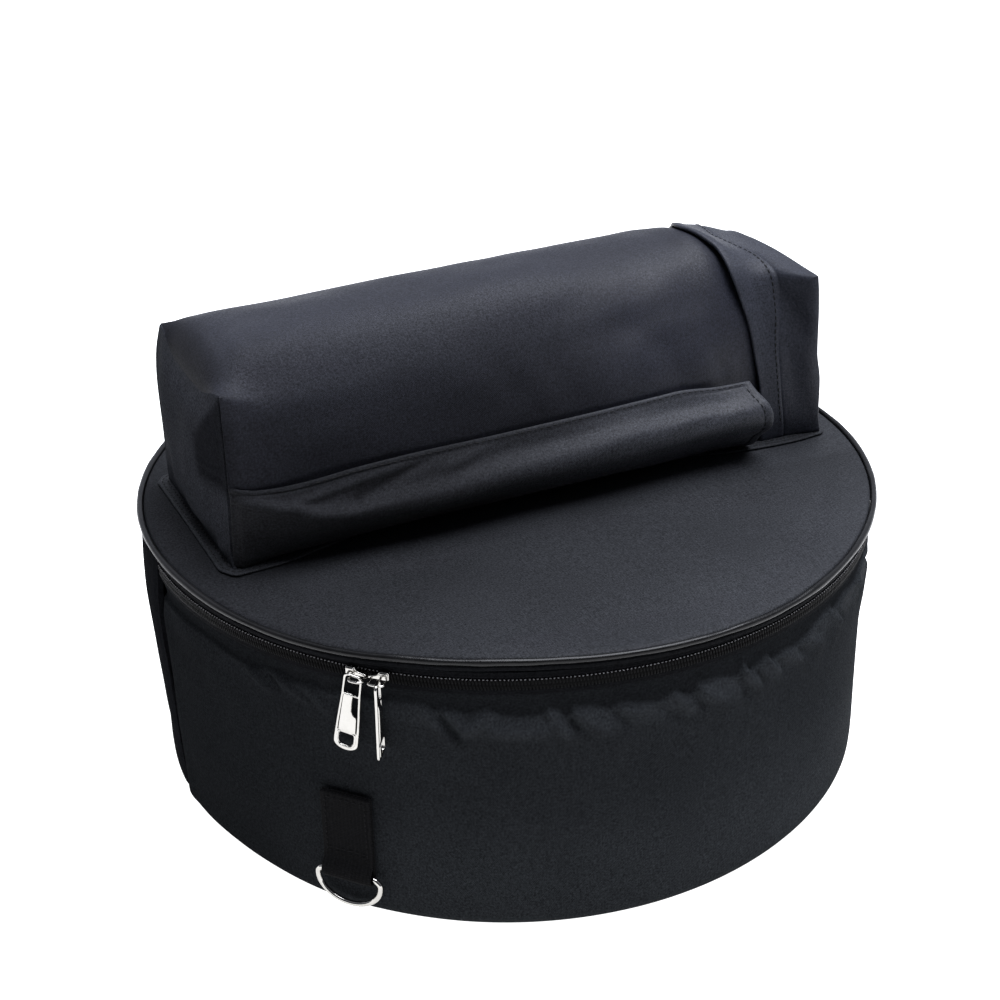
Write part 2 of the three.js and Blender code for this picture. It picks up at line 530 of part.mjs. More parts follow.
// ---- zip sliders and their pulls -----------------------------------------------------------
// hand -1: the slider's wide block is on the left and its nose points right; +1 mirrors it.
function sliderBody(hand, legs) {
  const s = (y) => -hand * y;           // local y for the left slider, mirrored for the right one
  const outline = [[-5.0, 2.1], [-0.4, 2.1], [0.3, 0.2], [4.8, -0.7], [4.8, -1.8], [-5.0, -1.8]];
  const plate = prism(outline.map(([y, z]) => [s(y), z]), 1.5).translate(0, 0, 0.75);
  // outline's axes (y, z) stand up on the wall, its depth points outward
  const stand = new THREE.Matrix4().makeBasis(V(0, 1, 0), V(0, 0, 1), V(1, 0, 0));
  plate.applyMatrix4(stand);
  plate.translate(SLIDER_IN, 0, 0);
  const block = new THREE.BoxGeometry(0.9, 4.1, 3.3);
  block.translate(SLIDER_IN + 1.7, s(-2.7), 0.2);
  const run = [
    [SLIDER_IN + 1.0, legs[0]], [BRIDGE_OUT - 1.6, legs[0]], [BRIDGE_OUT - 0.5, legs[0] + 0.5], [BRIDGE_OUT, legs[0] + 1.6],
    [BRIDGE_OUT, legs[1] - 1.6], [BRIDGE_OUT - 0.5, legs[1] - 0.5], [BRIDGE_OUT - 1.6, legs[1]], [SLIDER_IN + 1.0, legs[1]],
  ];
  const path = run.map(([x, y]) => V(x, y, BRIDGE_Z - SLIDER_Z + 0.6));
  path[0].z = path[7].z = BRIDGE_Z - SLIDER_Z + 0.3;
  for (const k of [2, 3, 4, 5]) path[k].z = BRIDGE_Z - SLIDER_Z;
  path[1].z = path[6].z = BRIDGE_Z - SLIDER_Z;
  path.binormal = V(0, 0, 1);
  return join(plate, block, wire(path, BRIDGE_WIRE, 8, false));
}

// Pull: a tapering plate with a window at its top and an oval eye at its end, and a
// curled cover between them.  Hangs from (0, 0) in the plane of its outline.
const PULL = { length: 41, head: 1.9, topHalf: 3.6, endHalf: 6.1, plate: 1.2, cover: 1.2 };
function pullBody() {
  const { length, head, topHalf, endHalf, plate, cover } = PULL;
  const end = length - head, eyeY = -end + 5.9;
  const half = [[topHalf - 1.3, head], [topHalf, head - 1.4], [topHalf + 0.1, -8], [mix(topHalf, endHalf, 0.75), -end * 0.62], [endHalf, -end * 0.84]];
  const tail = [];
  for (let k = 0; k <= 6; k++) {
    const a = Math.PI * k / 6;
    tail.push([endHalf * Math.cos(a), -end + 3.8 - 3.8 * Math.sin(a)]);
  }
  const mirrored = half.map(([x, y]) => [-x, y]).reverse();
  const window = [[2.3, 0.95], [2.6, 0.2], [2.6, -8.4], [-2.6, -8.4], [-2.6, 0.2], [-2.3, 0.95]];
  const eye = [[2.9, 3.3], [3.5, 2.4], [3.5, -1.6], [2.2, -3.2], [-2.2, -3.2], [-3.5, -1.6], [-3.5, 2.4], [-2.9, 3.3]]
    .map(([x, y]) => [x, eyeY + y]);
  const flat = cut(prism([...half, ...tail, ...mirrored], plate), prism(window, plate + 2), prism(eye, plate + 2));
  const raised = prism([[-2.9, -8.9], [2.9, -8.9], [4.4, -end + 10], [-4.4, -end + 10]], cover)
    .translate(0, 0, (plate + cover) / 2 - 0.2);
  return join(flat, raised);
}

for (const [side, hand] of [["left", -1], ["right", 1]]) {
  const spot = holder(SLIDER_AZ[side]);
  spot.position.z = SLIDER_Z;
  add(spot, `slider_${side}`, sliderBody(hand, BRIDGE_LEGS[side]), NICKEL());
}
{
  // the left pull hangs flat to the wall from its bridge's leg, leaning a little
  const HANG_OFF = 1.8, LEAN = -9;
  const pull = add(holder(SLIDER_AZ.left), "pull_left", pullBody(), NICKEL());
  pull.geometry.translate(HANG_OFF, 0, 0);
  pull.geometry.applyMatrix4(new THREE.Matrix4().makeRotationZ(rad(LEAN)));
  pull.geometry.applyMatrix4(new THREE.Matrix4().makeBasis(V(0, 1, 0), V(0, 0, 1), V(1, 0, 0)));
  pull.position.set(191.95, BRIDGE_LEGS.left[0], BRIDGE_Z);
}
{
  // the right pull hangs edge-on from its bridge's crown, turned slightly about the vertical
  const HANG_Y = 1.6, TURN = 9;
  const pull = add(holder(SLIDER_AZ.right), "pull_right", pullBody(), NICKEL());
  pull.geometry.applyMatrix4(new THREE.Matrix4().makeBasis(V(-1, 0, 0), V(0, 0, 1), V(0, 1, 0)));
  pull.geometry.applyMatrix4(new THREE.Matrix4().makeRotationZ(rad(TURN)));
  pull.position.set(BRIDGE_OUT, HANG_Y, BRIDGE_Z);
}

export default bag;
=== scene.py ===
import math

import bpy
import numpy as np
from mathutils import Matrix, Vector


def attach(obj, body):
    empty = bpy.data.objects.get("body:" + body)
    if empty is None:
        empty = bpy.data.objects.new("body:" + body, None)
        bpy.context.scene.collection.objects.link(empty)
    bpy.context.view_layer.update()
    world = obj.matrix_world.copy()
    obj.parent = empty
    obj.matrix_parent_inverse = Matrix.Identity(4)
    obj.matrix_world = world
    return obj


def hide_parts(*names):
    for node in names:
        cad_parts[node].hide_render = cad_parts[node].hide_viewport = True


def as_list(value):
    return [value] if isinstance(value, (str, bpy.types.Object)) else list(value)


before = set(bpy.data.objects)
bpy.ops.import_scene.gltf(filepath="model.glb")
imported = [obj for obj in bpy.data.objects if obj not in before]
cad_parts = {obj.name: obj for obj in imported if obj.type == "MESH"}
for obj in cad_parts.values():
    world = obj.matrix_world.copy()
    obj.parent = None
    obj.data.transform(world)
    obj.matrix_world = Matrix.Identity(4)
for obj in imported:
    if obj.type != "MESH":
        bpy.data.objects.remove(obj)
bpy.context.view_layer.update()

scene = bpy.context.scene
MM = 0.001
RIM = 148.0                     # height of the lid's piping above the floor
rad = np.radians

# ---------------------------------------------------------------- camera
# Solved from the rim's ellipse and the base's curve.
tilt = math.radians(-1.0132)
forward = Vector((0.383127, 0.803244, -0.456090))
right = Vector((0.902585, -0.430511, 0.0))
up = Vector((0.196352, 0.411660, 0.889937))
cam_x = right * math.cos(tilt) + up * math.sin(tilt)
cam_y = up * math.cos(tilt) - right * math.sin(tilt)
camera_data = bpy.data.cameras.new("camera")
camera_data.lens = 61.2
camera_data.sensor_width = 36.0
camera_data.sensor_fit = "HORIZONTAL"
camera_data.clip_start = 0.05
camera_data.clip_end = 20.0
camera = bpy.data.objects.new("camera", camera_data)
scene.collection.objects.link(camera)
basis = Matrix((cam_x, cam_y, -forward)).transposed().to_4x4()
camera.matrix_world = Matrix.Translation(Vector((-0.34749, -0.72048, 0.54022))) @ basis
scene.camera = camera

# ---------------------------------------------------------------- small helpers


def smooth(a, b, v):
    t = np.clip((np.asarray(v, float) - a) / (b - a), 0, 1)
    return t * t * (3 - 2 * t)


def mix(a, b, t):
    return a + (b - a) * t


def bell(v, width):
    return np.exp(-((np.asarray(v, float) / width) ** 2))


def steps(rows, at, column):
    """A table read with a smooth step between its rows, as in the part's own source."""
    rows = np.asarray(rows, float)
    at = np.asarray(at, float)
    x = rows[:, 0]
    k = np.clip(np.searchsorted(x, at, side="right") - 1, 0, len(x) - 2)
    t = smooth(0, 1, (at - x[k]) / (x[k + 1] - x[k]))
    return rows[k, column] + (rows[k + 1, column] - rows[k, column]) * t


def curve(rows, at, column=1):
    """A table read along a smooth curve through its rows that never overshoots."""
    rows = np.asarray(rows, float)
    x, y = rows[:, 0], rows[:, column]
    h = np.diff(x)
    d = np.diff(y) / h
    m = np.zeros(len(x))
    if len(x) > 2:
        w1, w2 = 2 * h[1:] + h[:-1], h[1:] + 2 * h[:-1]
        same = d[:-1] * d[1:] > 0
        with np.errstate(divide="ignore", invalid="ignore"):
            inner = (w1 + w2) / (w1 / d[:-1] + w2 / d[1:])
        m[1:-1] = np.where(same, inner, 0.0)
    at = np.clip(np.asarray(at, float), x[0], x[-1])
    k = np.clip(np.searchsorted(x, at, side="right") - 1, 0, len(x) - 2)
    t = (at - x[k]) / h[k]
    t2, t3 = t * t, t * t * t
    return (y[k] * (2 * t3 - 3 * t2 + 1) + y[k + 1] * (3 * t2 - 2 * t3)
            + m[k] * h[k] * (t3 - 2 * t2 + t) + m[k + 1] * h[k] * (t3 - t2))


class Waves:
    """Soft irregular undulation in space: a fixed sum of sine waves, in millimetres."""

    def __init__(self, seed, shortest, longest, count=14, stretch=(1, 1, 1)):
        rng = np.random.RandomState(seed)
        direction = rng.normal(size=(count, 3))
        direction /= np.linalg.norm(direction, axis=1)[:, None]
        length = np.exp(rng.uniform(math.log(shortest), math.log(longest), count))
        self.k = direction * (2 * math.pi / length)[:, None] / np.asarray(stretch, float)
        self.phase = rng.uniform(0, 2 * math.pi, count)
        self.amount = (length / longest) ** 0.8
        self.amount /= math.sqrt((self.amount ** 2).sum() / 2)

    def __call__(self, p):
        p = np.asarray(p, float)
        flat = p.reshape(-1, 3)
        out = np.zeros(len(flat))
        for k, phase, amount in zip(self.k, self.phase, self.amount):
            out += amount * np.sin(flat @ k + phase)
        return out.reshape(p.shape[:-1])


def crease(u, v, rows):
    """Sum of soft straight ridges (or hollows) on a surface with coordinates u, v in
    millimetres. Each row: u0, v0, u1, v1, half width, height."""
    out = np.zeros(np.broadcast(u, v).shape)
    for u0, v0, u1, v1, width, height in rows:
        du, dv = u1 - u0, v1 - v0
        length = math.hypot(du, dv)
        along = ((u - u0) * du + (v - v0) * dv) / length
        across = ((v - v0) * du - (u - u0) * dv) / length
        ends = smooth(-0.35 * length - width, 0.25 * length, along) * (1 - smooth(0.75 * length, 1.35 * length + width, along))
        out += height * ends * bell(across, width)
    return out


def ring(az, r, z):
    az = rad(az)
    return np.stack(np.broadcast_arrays(r * np.cos(az), r * np.sin(az), z), -1).astype(float)


def unit(v):
    return v / np.maximum(np.linalg.norm(v, axis=-1, keepdims=True), 1e-12)


def grid_normals(m, loop=False):
    if loop:
        along = np.roll(m, -1, 0) - np.roll(m, 1, 0)
    else:
        along = np.gradient(m, axis=0)
    across = np.gradient(m, axis=1)
    return unit(np.cross(along, across))


def path_length(p, axis=0):
    step = np.linalg.norm(np.diff(p, axis=axis), axis=-1)
    zero = np.zeros_like(np.take(step, [0], axis=axis))
    return np.concatenate([zero, np.cumsum(step, axis=axis)], axis=axis)


def resample(points, count, density=None):
    """Even points along a polyline, or spaced by a density given at its corners."""
    points = np.asarray(points, float)
    s = path_length(points)
    if density is not None:
        weight = np.concatenate([[0], np.cumsum(np.diff(s) * (density[1:] + density[:-1]) / 2)])
    else:
        weight = s
    at = np.linspace(0, weight[-1], count)
    return np.stack([np.interp(at, weight, points[:, c]) for c in range(points.shape[1])], 1)


def rounded(points, per=24):
    """Centripetal Catmull-Rom curve through the points."""
    p = np.asarray(points, float)
    p = np.vstack([2 * p[0] - p[1], p, 2 * p[-1] - p[-2]])
    out = []
    for i in range(1, len(p) - 2):
        p0, p1, p2, p3 = p[i - 1:i + 3]
        t0 = 0.0
        t1 = t0 + max(np.linalg.norm(p1 - p0), 1e-9) ** 0.5
        t2 = t1 + max(np.linalg.norm(p2 - p1), 1e-9) ** 0.5
        t3 = t2 + max(np.linalg.norm(p3 - p2), 1e-9) ** 0.5
        t = np.linspace(t1, t2, per, endpoint=False)[:, None]
        a1 = (t1 - t) / (t1 - t0) * p0 + (t - t0) / (t1 - t0) * p1
        a2 = (t2 - t) / (t2 - t1) * p1 + (t - t1) / (t2 - t1) * p2
        a3 = (t3 - t) / (t3 - t2) * p2 + (t - t2) / (t3 - t2) * p3
        b1 = (t2 - t) / (t2 - t0) * a1 + (t - t0) / (t2 - t0) * a2
        b2 = (t3 - t) / (t3 - t1) * a2 + (t - t1) / (t3 - t1) * a3
        out.append((t2 - t) / (t2 - t1) * b1 + (t - t1) / (t2 - t1) * b2)
    out.append(p[-2][None, :])
    return np.vstack(out)


# ---------------------------------------------------------------- mesh making


def volume_of(v, quads, tris):
    total = 0.0
    if len(quads):
        a, b, c, d = (v[quads[:, k]] for k in range(4))
        total += np.einsum("ij,ij->", a, np.cross(b, c)) + np.einsum("ij,ij->", a, np.cross(c, d))
    if len(tris):
        a, b, c = (v[tris[:, k]] for k in range(3))
        total += np.einsum("ij,ij->", a, np.cross(b, c))
    return total


def weave_of(count, weave):
    """Weave coordinates, then how dull the piece is there, which on cloth also darkens its colour as painted shade: 0
    where nothing is given.
    """
    out = np.zeros((count, 3))
    if weave is not None:
        weave = np.asarray(weave, float)
        out[:, :weave.shape[-1]] = weave.reshape(count, weave.shape[-1])
    return out


class Shape:
    """Points, quads, triangles and weave coordinates of closed shells, in millimetres."""

    def __init__(self):
        self.v, self.q, self.t, self.w = [], [], [], []
        self.n = 0

    def add(self, v, quads=(), tris=(), weave=None):
        v = np.asarray(v, float).reshape(-1, 3)
        quads = np.asarray(quads, int).reshape(-1, 4)
        tris = np.asarray(tris, int).reshape(-1, 3)
        if volume_of(v - v.mean(0), quads, tris) < 0:
            quads, tris = quads[:, ::-1], tris[:, ::-1]
        self.v.append(v)
        self.q.append(quads + self.n)
        self.t.append(tris + self.n)
        self.w.append(weave_of(len(v), weave))
        self.n += len(v)
        return self

    def add_many(self, v, quads, tris, weave=None):
        """Shells that are alike and already turned outward."""
        self.v.append(v)
        self.q.append(np.asarray(quads, int).reshape(-1, 4) + self.n)
        self.t.append(np.asarray(tris, int).reshape(-1, 3) + self.n)
        self.w.append(weave_of(len(v), weave))
        self.n += len(v)
        return self

    def build(self, name, material, slot, body="bag", stands_for=()):
        v = np.concatenate(self.v)
        q = np.concatenate(self.q)
        t = np.concatenate(self.t)
        w = np.concatenate(self.w)
        corners = np.concatenate([q.ravel(), t.ravel()]).astype(np.int32)
        starts = np.concatenate([np.arange(len(q)) * 4, len(q) * 4 + np.arange(len(t)) * 3]).astype(np.int32)
        mesh = bpy.data.meshes.new(name)
        mesh.vertices.add(len(v))
        mesh.vertices.foreach_set("co", (v * MM).astype(np.float32).ravel())
        mesh.loops.add(len(corners))
        mesh.loops.foreach_set("vertex_index", corners)
        mesh.polygons.add(len(starts))
        mesh.polygons.foreach_set("loop_start", starts)
        mesh.polygons.foreach_set("use_smooth", np.ones(len(starts), bool))
        mesh.update(calc_edges=True)
        mesh.set_sharp_from_angle(angle=math.radians(55))
        weave = mesh.attributes.new("weave", "FLOAT_VECTOR", "POINT")
        weave.data.foreach_set("vector", w.astype(np.float32).ravel())
        obj = bpy.data.objects.new(name, mesh)
        scene.collection.objects.link(obj)
        mesh.materials.append(material)
        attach(obj, body)
        if stands_for:
            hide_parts(*stands_for)
        return obj


def shell(m, thickness, loop=False, turns=3, weave=None, shape=None, ends=True, tuck=0.0):
    """Cloth with rounded edges: a grid of points on its middle surface, thickened both ways.
    loop joins its last row to its first."""
    m = np.asarray(m, float)
    n, c = m.shape[:2]
    half = np.broadcast_to(np.asarray(thickness, float) / 2, (n, c))
    normal = grid_normals(m, loop)
    first = unit(m[:, 0] - m[:, 1])
    last = unit(m[:, -1] - m[:, -2])
    if weave is None:
        weave = np.stack([path_length(m, 0), path_length(m, 1)], -1)
    a = np.pi * np.arange(1, turns + 1) / (turns + 1)
    centre, offset, uv = [], [], []
    k = (turns + 1) // 2
    # start in the middle of the first edge's round, go over the plus side, round the last edge, back
    for s in a[::-1][k - 1:] if turns else []:
        centre.append(m[:, 0]); uv.append(weave[:, 0])
        offset.append((normal[:, 0] * math.cos(s) + first * math.sin(s)) * half[:, 0:1])
    for j in range(c):
        centre.append(m[:, j]); uv.append(weave[:, j])
        offset.append(normal[:, j] * half[:, j:j + 1])
    for s in a:
        centre.append(m[:, -1]); uv.append(weave[:, -1])
        offset.append((normal[:, -1] * math.cos(s) + last * math.sin(s)) * half[:, -1:])
    for j in range(c - 1, -1, -1):
        centre.append(m[:, j]); uv.append(weave[:, j])
        offset.append(-normal[:, j] * half[:, j:j + 1])
    for s in (a[::-1][:k - 1] if turns else []):
        centre.append(m[:, 0]); uv.append(weave[:, 0])
        offset.append((normal[:, 0] * math.cos(s) + first * math.sin(s)) * half[:, 0:1])
    centre = np.stack(centre, 1)
    offset = np.stack(offset, 1)
    uv = np.stack(uv, 1)
    if not loop and ends:
        rows_c, rows_o, rows_u = [centre], [offset], [uv]
        for which, outward in ((0, unit(m[0] - m[1])), (-1, unit(m[-1] - m[-2]))):
            reach = half[which].mean()
            away = outward.mean(0)
            away = away / np.linalg.norm(away)
            extra = []
            for s in (0.5, 1.0, 1.35):
                extra.append((centre[which] + away * reach * math.sin(s), offset[which] * math.cos(s), uv[which]))
            if which == 0:
                extra = extra[::-1]
                rows_c = [np.stack([e[0] for e in extra])] + rows_c
                rows_o = [np.stack([e[1] for e in extra])] + rows_o
                rows_u = [np.stack([e[2] for e in extra])] + rows_u
            else:
                rows_c = rows_c + [np.stack([e[0] for e in extra])]
                rows_o = rows_o + [np.stack([e[1] for e in extra])]
                rows_u = rows_u + [np.stack([e[2] for e in extra])]
        centre, offset, uv = np.concatenate(rows_c), np.concatenate(rows_o), np.concatenate(rows_u)
    points = centre + offset
    return (shape or Shape()).add(*wrap(points, loop), weave=uv)


def wrap(points, loop=False, close=True):
    """Quads over rows of closed sections, with flat caps that pair mirrored points."""
    n, k = points.shape[:2]
    i = np.arange(n if loop else n - 1)[:, None]
    j = np.arange(k)[None, :]
    a = i * k + j
    b = i * k + (j + 1) % k
    c = ((i + 1) % n) * k + (j + 1) % k
    d = ((i + 1) % n) * k + j
    quads = [np.stack([a, b, c, d], -1).reshape(-1, 4)]
    tris = []
    if not loop and close:
        h = k // 2
        for base, flip in ((0, True), ((n - 1) * k, False)):
            s = np.arange(1, h - 1 + (k % 2))
            q = np.stack([base + s, base + s + 1, base + k - s - 1, base + k - s], -1)
            t = [[base, base + 1, base + k - 1]]
            if k % 2 == 0:
                t.append([base + h - 1, base + h, base + h + 1])
            else:
                q = q[:-1] if q[-1][1] >= q[-1][2] else q
                t.append([base + h, base + h + 1, base + h]) if False else None
            t = np.array(t)
            quads.append(q[:, ::-1] if flip else q)
            tris.append(t[:, ::-1] if flip else t)
    return points.reshape(-1, 3), np.concatenate(quads), (np.concatenate(tris) if tris else np.zeros((0, 3), int))


def sweep(sections, loop=False, weave=None, shape=None):
    """Rows of closed sections with an even number of points each."""
    sections = np.asarray(sections, float)
    n, k = sections.shape[:2]
    if weave is None:
        u = path_length(sections, 0)
        v = np.concatenate([path_length(sections, 1)], 1)
        weave = np.stack([u, v], -1)
    v, q, t = wrap(sections, loop)
    return (shape or Shape()).add(v, q, t, weave)


def strands(paths, radii, lift, sides=6, flat=1.0, shape=None, closed=False):
    """Many small bars at once. paths: (count, points, 3); radii: (points,) or (count, points);
    lift: (count, 3), a direction roughly across each bar; flat: height over width."""
    paths = np.asarray(paths, float)
    count, m = paths.shape[:2]
    radii = np.broadcast_to(np.asarray(radii, float), (count, m))
    if closed:
        tangent = unit(np.roll(paths, -1, 1) - np.roll(paths, 1, 1))
    else:
        tangent = unit(np.gradient(paths, axis=1))
    lift = np.broadcast_to(np.asarray(lift, float)[:, None, :] if np.ndim(lift) == 2 else lift, paths.shape)
    side = unit(np.cross(lift, tangent))
    top = np.cross(tangent, side)
    a = 2 * np.pi * np.arange(sides) / sides
    points = (paths[:, :, None, :] + radii[:, :, None, None]
              * (np.cos(a)[None, None, :, None] * side[:, :, None, :] + flat * np.sin(a)[None, None, :, None] * top[:, :, None, :]))
    i = np.arange(m if closed else m - 1)[:, None]
    j = np.arange(sides)[None, :]
    q = np.stack([i * sides + j, i * sides + (j + 1) % sides, ((i + 1) % m) * sides + (j + 1) % sides, ((i + 1) % m) * sides + j], -1).reshape(-1, 4)
    t = np.zeros((0, 3), int)
    if not closed:
        f = np.array([[0, s, s + 1] for s in range(1, sides - 1)])
        e = (m - 1) * sides
        t = np.concatenate([f[:, ::-1], f + e])
    one = points[0].reshape(-1, 3)
    if volume_of(one - one.mean(0), q, t) < 0:
        q, t = q[:, ::-1], t[:, ::-1]
    shift = (np.arange(count) * m * sides)[:, None, None]
    out = shape or Shape()
    quads = (q[None] + shift).reshape(-1, 4)
    tris = (t[None] + shift).reshape(-1, 3)
    along = np.broadcast_to(path_length(paths, 1)[:, :, None], points.shape[:3])
    around = np.broadcast_to((a / (2 * np.pi))[None, None, :] * 3, points.shape[:3])
    return out.add_many(points.reshape(-1, 3), quads, tris, np.stack([along, around], -1).reshape(-1, 2))


def tube(path, radius, sides=16, closed=False, shape=None, hint=(0, 0, 1), flat=1.0):
    path = np.asarray(path, float)
    if closed:
        tangent = unit(np.roll(path, -1, 0) - np.roll(path, 1, 0))
    else:
        tangent = unit(np.gradient(path, axis=0))
    n = len(path)
    normal = np.zeros_like(path)
    v = np.asarray(hint, float)
    for i in range(n):
        v = v - tangent[i] * (v @ tangent[i])
        v = v / np.linalg.norm(v)
        normal[i] = v
    side = np.cross(tangent, normal)
    a = 2 * np.pi * np.arange(sides) / sides
    radius = np.broadcast_to(np.asarray(radius, float), (n,))
    points = path[:, None] + radius[:, None, None] * (np.cos(a)[None, :, None] * normal[:, None] * flat + np.sin(a)[None, :, None] * side[:, None])
    shape = shape or Shape()
    v3, q, t = wrap(points, closed)
    return shape.add(v3, q, t, np.stack([np.broadcast_to(path_length(path)[:, None], (n, sides)), np.broadcast_to(a[None], (n, sides))], -1))


def sew(path, facing, pitch=3.5, length=2.7, width=0.34, sink=0.12, shape=None, seed=1, wander=0.12):
    """A row of stitches along a path; facing gives the surface's outward direction at its points."""
    path = np.asarray(path, float)
    facing = np.broadcast_to(np.asarray(facing, float), path.shape)
    s = path_length(path)
    count = max(1, int(s[-1] / pitch))
    rng = np.random.RandomState(seed)
    mid = (np.arange(count) + 0.5) * s[-1] / count + rng.uniform(-0.1, 0.1, count)
    t = np.array([-0.5, -0.36, 0.0, 0.36, 0.5])
    at = mid[:, None] + t[None] * length
    p = np.stack([np.interp(at, s, path[:, c]) for c in range(3)], -1)
    f = unit(np.stack([np.interp(mid, s, facing[:, c]) for c in range(3)], -1))
    rise = np.array([-1.1, 0.3, 0.62, 0.3, -1.1]) * width
    side = unit(np.cross(f, p[:, -1] - p[:, 0]))
    drift = rng.uniform(-wander, wander, (count, 2))
    p = p + f[:, None] * (rise[None, :, None] - sink) + side[:, None] * (drift[:, 0:1] + (drift[:, 1:2] - drift[:, 0:1]) * (t[None] + 0.5))[:, :, None]
    return strands(p, np.array([0.55, 0.95, 1.0, 0.95, 0.55]) * width, f, sides=6, flat=0.8, shape=shape)


# ---------------------------------------------------------------- materials


class Nodes:
    """Short-hand for a material's node tree."""

    def __init__(self, name):
        self.material = bpy.data.materials.new(name)
        self.material.use_nodes = True
        self.tree = self.material.node_tree
        self.tree.nodes.clear()
        self.out = self.tree.nodes.new("ShaderNodeOutputMaterial")
        self.bsdf = self.tree.nodes.new("ShaderNodeBsdfPrincipled")
        self.tree.links.new(self.bsdf.outputs[0], self.out.inputs[0])

    def add(self, kind, **values):
        node = self.tree.nodes.new(kind)
        for key, value in values.items():
            setattr(node, key, value)
        return node

    def link(self, a, b):
        self.tree.links.new(a, b)

    def maths(self, operation, a, b=None, c=None, clamp=False):
        node = self.add("ShaderNodeMath", operation=operation, use_clamp=clamp)
        for i, x in enumerate((a, b, c)):
            if x is None:
                continue
            if isinstance(x, (int, float)):
                node.inputs[i].default_value = x
            else:
                self.link(x, node.inputs[i])
        return node.outputs[0]

    def noise(self, vector, scale, detail=3.0, rough=0.55):
        node = self.add("ShaderNodeTexNoise")
        self.link(vector, node.inputs["Vector"])
        node.inputs["Scale"].default_value = scale
        node.inputs["Detail"].default_value = detail
        node.inputs["Roughness"].default_value = rough
        return node.outputs["Fac"]

    def span(self, value, a, b, c, d):
        node = self.add("ShaderNodeMapRange")
        self.link(value, node.inputs["Value"])
        for key, x in zip(("From Min", "From Max", "To Min", "To Max"), (a, b, c, d)):
            node.inputs[key].default_value = x
        return node.outputs[0]

    def scaled(self, vector, factors):
        node = self.add("ShaderNodeVectorMath", operation="MULTIPLY")
        self.link(vector, node.inputs[0])
        node.inputs[1].default_value = factors
        return node.outputs[0]

    def set(self, **values):
        for key, value in values.items():
            self.bsdf.inputs[key.replace("_", " ")].default_value = value


def fabric(name, base, pitch=0.95, contrast=0.55, rough=0.52, sheen=0.0, bump=0.5, specular=0.05, patch=0.10, slub=0.5, speckle=0.6, low=0.4, tint=(0.91, 0.965, 1.13)):
    """Plain-woven cloth: threads both ways from the weave coordinates, uneven yarns, speckle,
    and broad soft variation. Distances in millimetres."""
    n = Nodes(name)
    weave = n.add("ShaderNodeAttribute", attribute_name="weave").outputs["Vector"]
    place = n.add("ShaderNodeTexCoord").outputs["Object"]
    apart = n.add("ShaderNodeSeparateXYZ")
    n.link(weave, apart.inputs[0])
    u, v, dull = apart.outputs[0], apart.outputs[1], apart.outputs[2]
    # yarns wander a little
    sway = n.span(n.noise(n.scaled(weave, (0.12, 0.12, 0)), 1.0, 2.0), 0, 1, -0.8, 0.8)
    u2 = n.maths("ADD", u, sway)
    v2 = n.maths("ADD", v, sway)
    k = 2 * math.pi / pitch
    su = n.maths("SINE", n.maths("MULTIPLY", u2, k))
    sv = n.maths("SINE", n.maths("MULTIPLY", v2, k))
    knit = n.span(n.maths("MULTIPLY", su, sv), -1, 1, 0, 1)
    slub_u = n.noise(n.scaled(weave, (0.10, 2.1, 0)), 1.0, 2.0)
    slub_v = n.noise(n.scaled(weave, (2.1, 0.10, 0)), 1.0, 2.0)
    yarn = n.maths("ADD", n.maths("MULTIPLY", slub_u, 0.5), n.maths("MULTIPLY", slub_v, 0.5))
    grain = n.noise(place, 1050.0, 2.0, 0.7)
    broad = n.noise(place, 14.0, 3.0, 0.5)
    tone = n.maths("MULTIPLY", n.span(knit, 0, 1, 1 - contrast * 0.5, 1 + contrast * 0.5), n.span(yarn, 0.3, 0.7, 1 - slub * 0.5, 1 + slub * 0.5))
    tone = n.maths("MULTIPLY", tone, n.span(grain, 0.25, 0.75, 1 - speckle, 1 + speckle))
    # the weave's third number darkens the colour towards low: painted shade, given per piece by position; it also makes
    # the cloth rougher below
    tone = n.maths("MULTIPLY", tone, n.span(dull, 0, 1, 1, low))
    tone = n.maths("MULTIPLY", tone, n.span(broad, 0.3, 0.7, 1 - patch, 1 + patch))
    colour = n.add("ShaderNodeVectorMath", operation="SCALE")
    colour.inputs[0].default_value = tuple(base * t for t in tint)
    n.link(tone, colour.inputs["Scale"])
    n.link(colour.outputs[0], n.bsdf.inputs["Base Color"])
    height = n.maths("ADD", n.maths("MULTIPLY", knit, 0.6), n.maths("ADD", n.maths("MULTIPLY", yarn, 0.9), n.maths("MULTIPLY", grain, 0.7)))
    rise = n.add("ShaderNodeBump")
    rise.inputs["Strength"].default_value = bump
    rise.inputs["Distance"].default_value = 0.00022
    n.link(height, rise.inputs["Height"])
    n.link(rise.outputs[0], n.bsdf.inputs["Normal"])
    n.link(n.maths("ADD", n.span(grain, 0.2, 0.8, rough + 0.14, rough - 0.14), n.maths("MULTIPLY", dull, 0.42)), n.bsdf.inputs["Roughness"])
    n.set(Sheen_Weight=sheen, Sheen_Roughness=0.35, Specular_IOR_Level=specular)
    return n.material


